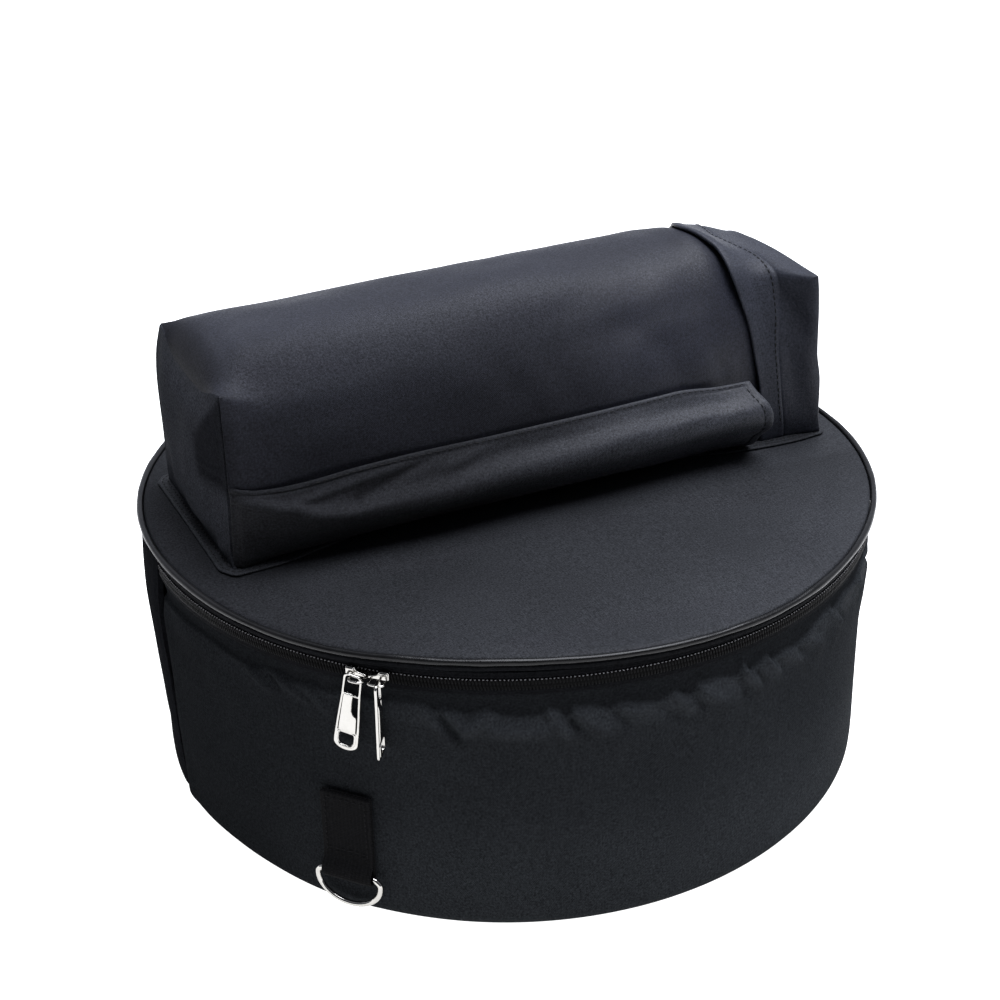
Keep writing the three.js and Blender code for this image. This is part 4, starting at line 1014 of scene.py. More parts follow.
# Soft hollows and ridges on the front: x and z of both ends, half width, height.
PANEL_DENTS = [
    [-28, 82, -10, 62, 9, -0.8], [-10, 78, 4, 60, 9, 0.4], [6, 71, 24, 46, 9, -0.8], [26, 76, 44, 52, 10, 0.4],
    [50, 82, 70, 70, 8, -0.7], [70, 70, 81, 47, 8, -0.9], [84, 84, 96, 62, 9, 0.5],
    [-120, 88, -92, 78, 9, 0.5], [-96, 72, -60, 58, 11, -0.6], [-140, 62, -118, 50, 8, -0.6], [-60, 84, -34, 74, 9, 0.5],
    [100, 60, 108, 48, 5, -0.9],
]
panel_waves = Waves(71, 36, 130, stretch=(1.5, 1, 1))
panel_small = Waves(72, 12, 40, stretch=(1.6, 1, 1))


def panel_section(x, count):
    s = {name: float(curve(PANEL_SECTIONS, x, k)) for k, name in enumerate(PANEL_COLUMNS) if k}
    pts = [[s["yLow"], LOW_Z], [s["yHem"], HEM_Z], [s["yShoulder"], s["zShoulder"]],
           [mix(s["yShoulder"], s["yTop"], 0.45), mix(s["zShoulder"], s["zTop"], 0.8)], [s["yTop"], s["zTop"]],
           [s["yBackShoulder"], s["zBackShoulder"]], [s["yBack"], 66], [s["yBack"] + 0.5, 30], [s["yBack"] + 0.3, float(foot_z(x, s["yBack"]))]]
    line = rounded(pts, 24)
    # near the left end both long edges are pulled to a crisp corner
    straight = np.concatenate([np.linspace(a, b, 24, endpoint=False) for a, b in zip(pts[:-1], pts[1:])] + [np.array([pts[-1]])])
    at = np.arange(len(line)) / 24.0
    crisp = (0.9 * bell(at - 2, 0.8) + 0.7 * bell(at - 5, 0.6)) * (1 - float(smooth(-160, -136, x)))
    return resample(mix(line, straight, np.clip(crisp, 0, 1)[:, None]), count)


# The cloth rolls softly over the left end, between the front seam's top and the back corner.
ROLL_R, ROLL_X = 13.0, -148.4
ROLL = [[0.0, 0.0], [0.295, 0.0], [0.305, 0.10], [0.35, 0.55], [0.40, 0.90], [0.47, 1.0], [0.55, 0.95], [0.60, 0.60], [0.63, 0.15], [0.645, 0.0], [1.0, 0.0]]


def make_panel():
    xs = np.concatenate([np.linspace(ROLL_X, 128, 176), np.linspace(128, 148, 9)[1:]])
    yz = np.stack([panel_section(x, 150) for x in xs])
    m = np.concatenate([np.broadcast_to(xs[:, None, None], (len(xs), 150, 1)), yz], -1).copy()
    # rows beyond the last straight one: round an arc where the cloth rolls, straight on elsewhere
    end = panel_section(-159.4, 150)
    share = curve(ROLL, np.linspace(0, 1, 150))[:, None]
    run = np.gradient(end, axis=0)
    inward = unit(np.stack([run[:, 1], -run[:, 0]], -1))
    if inward[75, 1] > 0:
        inward = -inward
    rows = []
    for t in np.linspace(1, 0, 15)[:-1]:
        a = t * math.pi / 2
        rolled = np.concatenate([np.full((150, 1), ROLL_X - ROLL_R * math.sin(a) + 0.2 * t), mix(yz[0], end, math.sin(a) * 0.9) + inward * ROLL_R * (1 - math.cos(a))], 1)
        straight = np.concatenate([np.full((150, 1), mix(ROLL_X, -161.2, t)), mix(yz[0], end, t)], 1)
        rows.append(mix(straight, rolled, share))
    m = np.concatenate([np.stack(rows), m])
    xs = np.concatenate([np.linspace(-161.2, ROLL_X, 15)[:-1], xs])
    n = grid_normals(m)
    if n[len(xs) // 2, 75, 2] < 0:
        n = -n
    x, y, z = m[..., 0], m[..., 1], m[..., 2]
    ends = smooth(-159.4, -146, x) * (1 - smooth(104, 118, x))
    foot = smooth(6, 26, z)
    front = smooth(10, -25, y)
    push = 0.75 * panel_waves(m) * ends * foot
    push += 0.22 * panel_small(m) * ends * foot * (0.4 + 0.6 * bell(z - 74, 22))
    push += crease(x, z, PANEL_DENTS) * front * ends
    # two slight hollows where the cloth is drawn towards the front seam's top
    push += crease(x, y, [[-158, -44, -128, -26, 5, -0.8], [-158, -40, -146, 2, 5, -0.7], [-158, -46, -118, -40, 5, 0.6]]) * smooth(60, 84, z) * smooth(-160.5, -154, x)
    m = m + n * push[..., None]
    tucked = smooth(-155.5, -161.2, x) * (1 - share.T * 0.9) * smooth(0, -30, y)
    m[..., 1] += 1.9 * tucked
    # it dips where it runs in under the cuff
    dip = curve([[-162, 0], [109, 0], [114, 0.9], [120, 3.0], [126, 4.5], [131, 4.3], [136, 3.4], [141, 1.6], [148, 0.3]], np.clip(x, -162, 148))
    m[..., 2] -= dip * smooth(64, 92, z)
    # painted shade: the cloth's colour is darkened, and it is rougher, where it turns down over the end and on the left
    # of its front; a painted highlight lightens it beside the front seam's top
    dull = np.maximum(smooth(-143, -160.5, x), 0.72 * smooth(0, -34, y) * (1 - smooth(-10, 80, x)))
    dull = dull * (1 - 0.55 * np.exp(-((x + 156) ** 2 + (y + 38) ** 2 + (z - 91) ** 2) / (2 * 9.0 ** 2)))
    weave = np.stack([path_length(m, 0), path_length(m, 1), dull], -1)
    obj = shell(at_rim(m), 1.8, turns=3, weave=weave, ends=False).build("pocket_main_cloth", CLOTH, "cloth", stands_for=["pocket_main_panel"])
    cut(obj, m, "stretched", ["pocket_base_flange"])
    return obj, m


panel_obj, panel_grid = make_panel()

# ---------------------------------------------------------------- pocket: end gussets
RIGHT_END = [[0, 168], [14, 165.2], [36, 163.0], [52, 159.6], [74, 158.2], [95, 157]]
gusset_waves = Waves(81, 22, 80)


def right_x(z):
    return curve(RIGHT_END, np.clip(z, 0, 95))


def fill(edge, corner_a, corner_b, front_foot, levels=72):
    """Fills a frame that runs from the front foot over the top to the back foot; the rows go from foot to top."""
    top = edge[corner_a:corner_b + 1]
    v = np.linspace(0, 1, levels)
    s = path_length(top)
    u = s / s[-1]
    grid = np.empty((len(top), levels, 3))
    front, back = np.vstack([front_foot, edge[:corner_a + 1]]), edge[corner_b:][::-1]
    sf, sb = path_length(front), path_length(back)
    lift = top - mix(top[0], top[-1], u[:, None])
    for j, t in enumerate(v):
        a = np.array([np.interp(t * sf[-1], sf, front[:, c]) for c in range(3)])
        b = np.array([np.interp(t * sb[-1], sb, back[:, c]) for c in range(3)])
        grid[:, j] = mix(a, b, u[:, None]) + lift * t ** 1.5    # straight across between the two seams
    return grid, u[:, None], v[None]


def left_place(y, z, u, v, x):
    bulge = np.sin(np.pi * u) * np.sin(np.pi * v)
    p = np.stack(np.broadcast_arrays(0 * y, y, z), -1)
    held = smooth(0.0, 0.10, u) * smooth(1.0, 0.90, u) * smooth(0.0, 0.10, v) * smooth(1.0, 0.86, v)
    # it swells out soon after the front seam, over a width that runs out at the seam's top
    reach = 0.03 + 0.24 * smooth(1.0, 0.72, v)
    x = x - 3.6 * smooth(0, 1, u / reach) * smooth(1.0, 0.7, u) * smooth(0.0, 0.16, v) * smooth(1.0, 0.78, v)
    x = x - 0.9 * bulge - 0.4 * gusset_waves(p) * held
    # a slight hollow runs down beside the seam, with a small crease across its middle
    rows = [[-38, 84, -35, 24, 3.6, -1.2], [-44, 51, -14, 49, 1.8, 1.0], [-44, 48, -14, 46, 1.8, -1.0],
            [-42, 14, -26, 8, 3.2, 2.0], [-36, 22, -8, 16, 4.0, 0.8]]
    return x - crease(y, z, rows) * held


def right_place(y, z, u, v):
    bulge = np.sin(np.pi * u) * np.sin(np.pi * v)
    p = np.stack(np.broadcast_arrays(0 * y + 160, y, z), -1)
    held = smooth(0.0, 0.12, u) * smooth(1.0, 0.88, u) * smooth(0.0, 0.10, v) * smooth(1.0, 0.92, v)
    return right_x(z) + 1.4 * bulge + 0.6 * gusset_waves(p) * held




def make_left_end():
    """Fills the frame that the panel's rolled edge leaves, and shares that edge's points."""
    edge = panel_grid[0]                                  # from the front foot over the top to the back foot
    n = len(edge)
    grid, uu, vv = fill(edge, int(0.295 * (n - 1)), int(0.645 * (n - 1)) + 1, [-161.2, -41.0, float(foot_z(-161.2, -41.0))])
    y, z = grid[..., 1], grid[..., 2]
    grid[..., 0] = left_place(y, z, uu, vv, grid[..., 0])
    # painted shade: the end's colour is darkened by position, lightest high up near the front and darkest in a strip
    # beside the front seam where the hollow is
    dull = mix(0.42, 0.36, smooth(0.35, 0.0, vv)) + 0 * uu
    dull = mix(dull, 0.04, smooth(0.72, 1.0, vv) * smooth(0.1, 0.4, uu))
    strip = 0.31 * smooth(1.06, 0.66, vv)                # the hollow beside the seam runs out at the seam's top
    dull = mix(dull, 0.92, smooth(strip + 0.05, strip - 0.05, uu) * smooth(0.38, 0.50, vv))
    weave = np.stack([y, z, dull], -1)
    obj = shell(at_rim(grid), 1.8, turns=3, weave=weave, ends=False).build("pocket_left_cloth", END_CLOTH, "cloth", stands_for=["pocket_end_left"])
    cut(obj, grid, "stretched", ["pocket_base_flange"])
    return grid


left_grid = make_left_end()

# ---------------------------------------------------------------- pocket: cuff
CUFF_COLUMNS = ["u", "yFoot", "yLow", "yHem", "yShoulder", "zShoulder", "yBend", "zBend", "yTop", "zTop", "yBackShoulder", "zBackShoulder", "yBack"]
CUFF_SECTIONS = [
    [0.00, -37.5, -38.5, -35.6, -28.4, 76.5, -18, 98.0, 8, 110.0, 46, 98.4, 68.0],
    [0.25, -37.5, -39, -36.0, -28.0, 77.0, -18, 95.6, 10, 105.0, 47, 97.2, 68.0],
    [0.55, -38.5, -40.5, -38.2, -31.5, 79.0, -24, 92.4, 12, 99.2, 48, 95.2, 68.0],
    [1.00, -41.2, -43, -45.0, -46.0, 82.0, -45, 93.8, 16, 96.4, 43, 92, 66.5],
]
# The hem leans: where it lies along X, going round the section from the front foot.
CUFF_HEM = [[0, 133.5], [0.10, 131.8], [0.18, 129.0], [0.24, 126.8], [0.29, 123.8], [0.35, 120.4], [0.40, 119.2], [0.44, 115.6], [0.50, 111.8], [0.56, 117.0], [0.614, 124.0], [0.70, 127.5], [0.85, 129.5], [1, 131]]
# Where the hem's inner edge is stitched, as a share of the way to the end's seam.
CUFF_STITCH = [[0, 0.38], [0.10, 0.34], [0.20, 0.42], [0.27, 0.53], [0.36, 0.61], [0.43, 0.58], [0.47, 0.525], [0.60, 0.50], [1, 0.40]]
cuff_waves = Waves(91, 18, 70)


def make_cuff():
    us = np.linspace(0, 1, 60)
    lines = []
    for u in us:
        s = {name: float(curve(CUFF_SECTIONS, u, k)) for k, name in enumerate(CUFF_COLUMNS) if k}
        pts = [[s["yFoot"], float(foot_z(140, s["yFoot"]))], [s["yLow"], 18], [s["yHem"], HEM_Z], [s["yShoulder"], s["zShoulder"]],
               [s["yBend"], s["zBend"]], [s["yTop"], s["zTop"]], [s["yBackShoulder"], s["zBackShoulder"]], [s["yBack"], 66],
               [s["yBack"] + 0.3, 30], [s["yBack"] + 0.3, float(foot_z(140, s["yBack"]))]]
        line = rounded(pts, 24)
        # the end's upper front corner is sharp
        straight = np.concatenate([np.linspace(a, b, 24, endpoint=False) for a, b in zip(pts[:-1], pts[1:])] + [np.array([pts[-1]])])
        crisp = 0.95 * bell(np.arange(len(line)) / 24.0 - 4, 0.9) * float(smooth(0.62, 1.0, u))
        lines.append(resample(mix(line, straight, crisp[:, None]), 170))
    yz = np.stack(lines)
    around = np.linspace(0, 1, 170)[None]
    hem, stitch = curve(CUFF_HEM, around), curve(CUFF_STITCH, around)
    x = mix(hem, right_x(yz[..., 1]) + 0.3, us[:, None])
    m = np.concatenate([x[..., None], yz], -1)
    n = grid_normals(m)
    if n[20, 85, 2] < 0:
        n = -n
    u = us[:, None]
    held = smooth(0.0, 0.3, u) * smooth(1.0, 0.8, u) * smooth(4, 20, m[..., 2])
    push = 0.28 * cuff_waves(m) * held
    # a dent across the corner between the hem's stitching and the seam, and slight tucks below it
    push += crease(m[..., 0], m[..., 2], [[143, 84, 152, 64, 5, -1.5], [140, 56, 147, 30, 6, 0.4], [147, 38, 154, 22, 5, -0.4]]) * smooth(10, -15, m[..., 1]) * held
    beside = (u - stitch) * 36.0                          # millimetres past the stitched edge
    inside = 1 - smooth(-0.4, 0.9, beside)
    push += 0.30 * inside - 0.35 * bell(beside - 0.9, 0.8)
    thick = 1.4 + 0.5 * inside                            # the hem is folded double
    m = m + n * push[..., None]
    obj = shell(at_rim(m), thick, turns=3).build("pocket_cuff_cloth", CUFF_CLOTH, "cloth", stands_for=["pocket_cuff"])
    cut(obj, m, "stretched", ["pocket_base_flange"])
    at = stitch[0] - 1.3 / 36.0
    k = np.clip(at * (len(us) - 1), 0, len(us) - 1.001)
    low, part = k.astype(int), (k % 1)[:, None]
    j = np.arange(170)
    seam = mix(m[low, j], m[low + 1, j], part)
    return obj, m, n, seam, n[low, j]


cuff_obj, cuff_grid, cuff_normal, cuff_seam, cuff_seam_normal = make_cuff()


def make_right_end():
    """Fills the cuff's outer edge, just inside its thickness."""
    edge = cuff_grid[-1].copy()
    run = np.gradient(edge[:, 1:], axis=0)
    inward = unit(np.stack([run[:, 1], -run[:, 0]], -1))
    if np.sum(inward * (np.array([10.0, 45.0]) - edge[:, 1:])) < 0:
        inward = -inward
    edge[:, 1:] += 1.15 * inward
    edge[:, 2] = np.maximum(edge[:, 2], foot_z(165, edge[:, 1]))
    corner_a = int(np.argmin(np.abs(edge[:, 1] + 44.0) + np.abs(edge[:, 2] - 92.4)))
    corner_b = int(np.argmin(np.abs(edge[:, 1] - 65.0) + np.abs(edge[:, 2] - 64.0)))
    grid, uu, vv = fill(edge, corner_a, corner_b, [165.0, edge[0, 1], float(foot_z(165, edge[0, 1]))])
    y, z = grid[..., 1], grid[..., 2]
    grid[..., 0] = right_place(y, z, uu, vv)
    weave = np.stack([y, z, np.full(y.shape, 0.4)], -1)
    obj = shell(at_rim(grid), 1.8, turns=3, weave=weave).build("pocket_right_cloth", END_CLOTH, "cloth", stands_for=["pocket_end_right"])
    cut(obj, grid, "stretched", ["pocket_base_flange"])
    return grid


right_grid = make_right_end()

# ---------------------------------------------------------------- pocket: front lip
LIP_COLUMNS = ["x", "yFoot", "yUnder", "zUnder", "yBelly", "zBelly", "yCrest", "zCrest", "yNeck", "zNeck", "yTop", "zTop"]
LIP_SECTIONS = [
    [-160.6, -43.0, -44.0, 14.0, -45.8, 28.0, -47.0, 41.0, -46.7, 43.2, -46.4, 45.4],
    [-149.0, -41.5, -46.0, 14.0, -49.2, 27.0, -51.2, 37.6, -49.0, 40.4, -47.2, 43.0],
    [-138.0, -39.0, -48.5, 14.0, -52.8, 26.0, -54.4, 34.0, -50.6, 37.6, -48.0, 42.4],
    [-120.0, -35.5, -50.5, 15.0, -57.0, 24.0, -58.2, 28.8, -53.0, 33.6, -48.8, 43.2],
    [-100.0, -31.0, -51.0, 15.5, -58.8, 23.0, -59.6, 28.0, -53.6, 33.4, -49.0, 44.8],
    [-66.0, -26.0, -52.0, 16.0, -60.0, 23.0, -60.2, 28.5, -53.6, 34.4, -48.8, 45.6],
    [-35.0, -23.0, -52.0, 15.0, -60.8, 24.5, -60.4, 31.0, -53.2, 36.8, -48.4, 45.3],
    [20.0, -24.0, -52.0, 13.5, -61.0, 25.5, -59.8, 33.8, -52.6, 38.8, -48.2, 45.8],
    [60.0, -28.0, -51.5, 13.0, -61.0, 25.5, -59.8, 34.6, -52.8, 39.8, -47.8, 46.6],
    [73.0, -30.0, -51.5, 14.0, -60.8, 26.0, -59.6, 35.0, -52.8, 40.2, -47.5, 46.8],
    [100.0, -33.5, -51.5, 14.5, -60.2, 26.0, -59.2, 35.0, -52.2, 39.6, -46.8, 44.0],
    [117.5, -36.0, -52.0, 16.0, -59.8, 25.5, -58.4, 33.6, -52.0, 38.8, -46.0, 43.2],
]
LIP_FOLDS = [
    [-134, 35, -72, 44, 2.0, 1.7], [-106, 31, -60, 44, 2.4, -1.7], [-103.5, 29, -101, 37, 1.3, -1.0], [-56, 36, -36, 43, 2.6, 1.0],
    [-150, 26, -118, 20, 3.4, 0.7],
    [-60, 32, -20, 40, 4.0, -0.7], [10, 30, 50, 38, 4.0, 0.6], [70, 30, 104, 38, 3.6, -0.7],
]
lip_waves = Waves(101, 24, 90, stretch=(1.8, 1, 1))


def make_lip():
    xs = np.linspace(-160.6, 117.5, 240)
    lines = []
    for x in xs:
        s = {name: float(curve(LIP_SECTIONS, x, k)) for k, name in enumerate(LIP_COLUMNS) if k}
        pts = [[s["yFoot"], float(foot_z(x, s["yFoot"])) + 0.8], [mix(s["yFoot"], s["yUnder"], 0.55), 7.5], [s["yUnder"], s["zUnder"]],
               [s["yBelly"], s["zBelly"]], [s["yCrest"], s["zCrest"]], [s["yNeck"], s["zNeck"]], [s["yTop"], s["zTop"]]]
        lines.append(resample(rounded(pts, 24), 72))
    yz = np.stack(lines)
    z = yz[..., 1]
    x = xs[:, None] + 5.0 * smooth(45, 30, z) * smooth(92, 117.5, xs)[:, None]
    m = np.stack([x, yz[..., 0], z], -1)
    n = grid_normals(m)
    if n[120, 36, 1] > 0:
        n = -n
    s = path_length(m, 1)
    total = s[:, -1:]
    free = smooth(2, 12, s) * smooth(0, 9, total - s) * smooth(-160.6, -152, x)
    push = 0.5 * lip_waves(m) * free + crease(x, z, LIP_FOLDS) * free
    last = xs[-1] - xs[:, None] + 0 * s                   # the right end is hemmed too
    edge = np.minimum(2.8 * (total - s), last)            # the upper hem is narrower
    hem = 1 - smooth(2.6, 3.6, edge)
    push = push + crease(x, z, [[-160.6, 41.0, -128, 32.0, 1.4, 1.0]]) * smooth(0, 3, total - s)
    m = m + n * (push + 0.25 * hem - 0.35 * bell(edge - 4.0, 1.0))[..., None]
    m[..., 1] += 2.8 * smooth(-156.5, -160.6, m[..., 0])  # the left end runs into the seam
    thick = 1.4 + 0.5 * hem
    # painted shade: the lip is darkened, and made rougher, towards its left end, as if lit from the right
    dull = curve([[-160, 1.0], [-60, 0.93], [0, 0.60], [40, 0.38], [90, 0.08], [118, 0.0]], m[..., 0])
    weave = np.stack([path_length(m, 0), path_length(m, 1), dull], -1)
    obj = shell(at_rim(m), thick, turns=3, weave=weave).build("pocket_lip_cloth", LIP_CLOTH, "cloth", stands_for=["pocket_front_lip"])
    cut(obj, m, "gathered", ["pocket_base_flange"])
    return obj, m, n


lip_obj, lip_grid, lip_normal = make_lip()

# ---------------------------------------------------------------- pocket: sewn flange
FLANGE = [[-168, -46], [-141, -45.5], [-119, -40.5], [-90, -33.5], [-50, -28.5], [60, -28.5], [92, -36.5], [115, -42.5], [150, -45.0], [173, -43]]
FLANGE_LEFT, FLANGE_RIGHT, FLANGE_BACK, FLANGE_WIDE = -167.6, 173.2, 74.0, 6.2


def flange_outline():
    front = np.linspace(FLANGE_LEFT + 5, FLANGE_RIGHT - 4, 120)
    pts = [[x, float(curve(FLANGE, x))] for x in front]
    pts += [[FLANGE_RIGHT, -38], [FLANGE_RIGHT, 0], [FLANGE_RIGHT, 40], [FLANGE_RIGHT - 1.2, 66], [FLANGE_RIGHT - 6, FLANGE_BACK - 2.4]]
    pts += [[x, FLANGE_BACK] for x in (150, 110, 40, -40, -110, -150)]
    pts += [[FLANGE_LEFT + 4, FLANGE_BACK - 2.4], [FLANGE_LEFT, 66], [FLANGE_LEFT, 36], [FLANGE_LEFT, 0], [FLANGE_LEFT, -38]]
    pts.append(pts[0])
    dense = resample(np.array(pts, float), 721)[:-1]
    for _ in range(3):
        dense = (np.roll(dense, 1, 0) + 2 * dense + np.roll(dense, -1, 0)) / 4
    return dense


def make_flange():
    outer = flange_outline()
    along = unit(np.roll(outer, -1, 0) - np.roll(outer, 1, 0))
    inward = np.stack([-along[:, 1], along[:, 0]], -1)
    w = np.linspace(FLANGE_WIDE, 0, 7)
    xy = outer[:, None] + inward[:, None] * w[None, :, None]
    z = lid_top(np.hypot(xy[..., 0], xy[..., 1])) + np.maximum(0, wave_at(xy[..., 0], xy[..., 1])) + GAP + FLANGE_T / 2
    z = z - 0.16 * (bell(w - 1.6, 0.5) + bell(w - 4.4, 0.5))[None]
    m = np.concatenate([xy, z[..., None]], -1)
    obj = shell(at_rim(m), FLANGE_T - 0.1, loop=True, turns=3, weave=np.concatenate([xy, 0 * xy[..., :1] + 0.15], -1)).build("pocket_flange_cloth", LID_CLOTH, "cloth", stands_for=["pocket_base_flange"])
    thread = Shape()
    for k, depth in enumerate((1.6, 4.4)):
        line = outer + inward * depth
        zz = lid_top(np.hypot(line[:, 0], line[:, 1])) + np.maximum(0, wave_at(line[:, 0], line[:, 1])) + GAP + FLANGE_T - 0.15
        path = np.concatenate([line, zz[:, None]], -1)
        path = np.vstack([path, path[:1]])
        sew(at_rim(path), np.array([0, 0, 1.0]), shape=thread, seed=3 + k)
    thread.build("flange_stitches", THREAD, "cloth")
    return obj


make_flange()

# ---------------------------------------------------------------- pocket: stitching


def row_on(grid, normal, index, lift, axis=1):
    line = grid[:, index] if axis == 1 else grid[index]
    face = normal[:, index] if axis == 1 else normal[index]
    return line + face * lift, face


def make_pocket_stitches():
    thread = Shape()
    # lip hem: a row below its upper edge, and one up its right end
    s = path_length(lip_grid, 1)
    total = s[:, -1:]
    j = np.argmin(np.abs((total - s) - 1.2), axis=1)
    rows = np.arange(len(lip_grid))
    p = lip_grid[rows, j] + lip_normal[rows, j] * 0.92
    sew(at_rim(p[6:-3]), lip_normal[rows, j][6:-3], width=0.26, shape=thread, seed=10)
    sew(at_rim((lip_grid[-4] + lip_normal[-4] * 0.95)[14:-4]), lip_normal[-4][14:-4], width=0.26, shape=thread, seed=12)
    # cuff: one row where the hem ends
    sew(at_rim((cuff_seam + cuff_seam_normal * 0.98)[6:-6]), cuff_seam_normal[6:-6], shape=thread, seed=21)
    thread.build("pocket_stitches", THREAD, "cloth")


make_pocket_stitches()

# ---------------------------------------------------------------- webbing tab and ring
WEB_AZ, WEB_W, WEB_T, WEB_BACK = -139.2, 24.5, 1.6, 187.65
WEB_TOP, WEB_STITCH, BAR_Z = -78.3, -112.0, -121.5
RING_WIRE, RING_HALF, RING_DROP, LOOP_HOLE = 1.5, 16.9, 17.5, 2.0
BAR_X = WEB_BACK + WEB_T + 0.35 + RING_WIRE


def holder(az, points, z=0.0):
    """Local axes: x outward from the bag's axis, y along the wall, z up."""
    p = np.asarray(points, float)
    c, s = math.cos(rad(az)), math.sin(rad(az))
    out = np.empty_like(p)
    out[..., 0] = c * p[..., 0] - s * p[..., 1]
    out[..., 1] = s * p[..., 0] + c * p[..., 1]
    out[..., 2] = p[..., 2] + z + RIM
    return out


def make_tab():
    # one strip of webbing: down the back, round the bar, up the front
    back, front, turn = WEB_BACK + WEB_T / 2, WEB_BACK + WEB_T * 1.5 + 0.06, LOOP_HOLE + WEB_T / 2
    pts = [[back, WEB_TOP]] + [[back, z] for z in (-90, -104, -114, -118.5)]
    for a in np.linspace(190, 350, 15):
        pts.append([max(back, BAR_X + turn * math.cos(rad(a))), BAR_Z + turn * math.sin(rad(a))])
    pts += [[BAR_X + turn * 0.98, BAR_Z + 0.8], [BAR_X + turn * 0.72, BAR_Z + 3.2], [front + 0.9, -115.4], [front + 0.1, -112.4], [front - 0.05, -108],
            [front, -100], [front, -90], [front, WEB_TOP + 0.2]]
    line = resample(rounded(pts, 8), 130)
    y = np.linspace(-WEB_W / 2, WEB_W / 2, 27)
    ribs = 0.05 * np.cos(2 * np.pi * y / 1.9)
    m = np.empty((27, len(line), 3))
    m[..., 0] = line[None, :, 0]
    m[..., 1] = y[:, None]
    m[..., 2] = line[None, :, 1]
    # the strip's side edges dip
    s = np.linspace(0, 1, len(line))
    thick = WEB_T - 0.1 - 0.35 * smooth(WEB_W / 2 - 1.2, WEB_W / 2, np.abs(y))[:, None] + 2 * ribs[:, None] * 0.5 + 0 * s[None]
    weave = np.stack([np.broadcast_to(path_length(line)[None], m.shape[:2]), np.broadcast_to(y[:, None], m.shape[:2])], -1)
    shell(holder(WEB_AZ, m), thick, turns=3, weave=weave).build("tab_webbing", WEBBING, "webbing", stands_for=["d_ring_tab"])
    thread = Shape()
    x = front + WEB_T / 2
    out = holder(WEB_AZ, np.array([[1.0, 0, 0]])) - holder(WEB_AZ, np.array([[0, 0, 0.0]]))
    rows = [
        [[x, -10.3, -80.2], [x, 10.3, -80.2]], [[x, 10.3, -80.2], [x, 10.3, -110.6]], [[x, -10.3, -80.2], [x, -10.3, -110.6]],
        [[x, -10.3, -110.6], [x, 10.3, -110.6]], [[x, -10.3, -108.4], [x, 10.3, -108.4]],
    ]
    for k, (a, b) in enumerate(rows):
        p = np.linspace(a, b, 20)
        sew(holder(WEB_AZ, p), out[0], shape=thread, seed=30 + k, pitch=3.0, length=2.3)
    thread.build("tab_stitches", DARK_THREAD, "webbing")


make_tab()


def make_ring():
    corner = 3.2
    pts = [[y, BAR_Z] for y in np.linspace(-(RING_HALF - corner), RING_HALF - corner, 12)]
    for a in np.linspace(0, 180, 61)[1:-1]:
        c, s = math.cos(rad(a)), math.sin(rad(a))
        squash = 1 - 0.03 * bell(s, 0.28)
        pts.append([RING_HALF * c * squash, BAR_Z - 1.6 - (RING_DROP - 1.6) * s ** 0.92])
    pts = np.array(pts)
    dense = resample(np.vstack([pts, pts[:1]]), 161)[:-1]
    for _ in range(5):
        dense = (np.roll(dense, 1, 0) + 2 * dense + np.roll(dense, -1, 0)) / 4
    path = np.stack([np.full(len(dense), BAR_X), dense[:, 0], dense[:, 1]], -1)
    tube(holder(WEB_AZ, path), RING_WIRE - 0.25, 20, closed=True, hint=(math.cos(rad(WEB_AZ)), math.sin(rad(WEB_AZ)), 0)).build(
        "ring_wire", NICKEL, "nickel", body="d_ring", stands_for=["d_ring"])


make_ring()

# ---------------------------------------------------------------- sliders and pulls
SLIDER_AZ = {"left": -136.25, "right": -133.15}
SLIDER_Z, SLIDER_IN = -9.4, 188.4
BRIDGE_OUT, BRIDGE_WIRE, BRIDGE_Z = 194.9, 0.55, -11.1
BRIDGE_LEGS = {"left": (-1.9, 4.6), "right": (-3.2, 4.1)}


def pebble(shape, outline, low, high, soft, place, rings=4):
    """A flat piece with rounded edges: a closed outline between two depths. place maps
    (outline x, outline y, depth) to local points."""
    outline = np.asarray(outline, float)
    n = len(outline)
    along = unit(np.roll(outline, -1, 0) - np.roll(outline, 1, 0))
    out = np.stack([along[:, 1], -along[:, 0]], -1)
    area = 0.5 * np.sum(outline[:, 0] * np.roll(outline[:, 1], -1) - np.roll(outline[:, 0], -1) * outline[:, 1])
    if area < 0:
        out = -out
    levels = []
    for a in np.linspace(90, 0, rings):
        levels.append((high - soft + soft * math.sin(rad(a)), soft * (1 - math.cos(rad(a)))))
    for a in np.linspace(0, 90, rings):
        levels.append((low + soft - soft * math.sin(rad(a)), soft * (1 - math.cos(rad(a)))))
    rows = []
    for depth, shrink in levels:
        q = outline - out * shrink
        rows.append(np.concatenate([q, np.full((n, 1), depth)], -1))
    rows = np.stack(rows)                        # levels x n x 3
    m = len(levels)
    i, j = np.arange(m - 1)[:, None], np.arange(n)[None]
    quads = np.stack([i * n + j, i * n + (j + 1) % n, (i + 1) * n + (j + 1) % n, (i + 1) * n + j], -1).reshape(-1, 4)
    v = rows.reshape(-1, 3)
    top_c = np.array([[*outline.mean(0), high]])
    low_c = np.array([[*outline.mean(0), low]])
    v = np.concatenate([v, top_c, low_c])
    k = np.arange(n)
    tris = np.concatenate([np.stack([np.full(n, m * n), (k + 1) % n, k], -1),
                           np.stack([np.full(n, m * n + 1), (m - 1) * n + k, (m - 1) * n + (k + 1) % n], -1)])
    return shape.add(place(v), quads, tris)


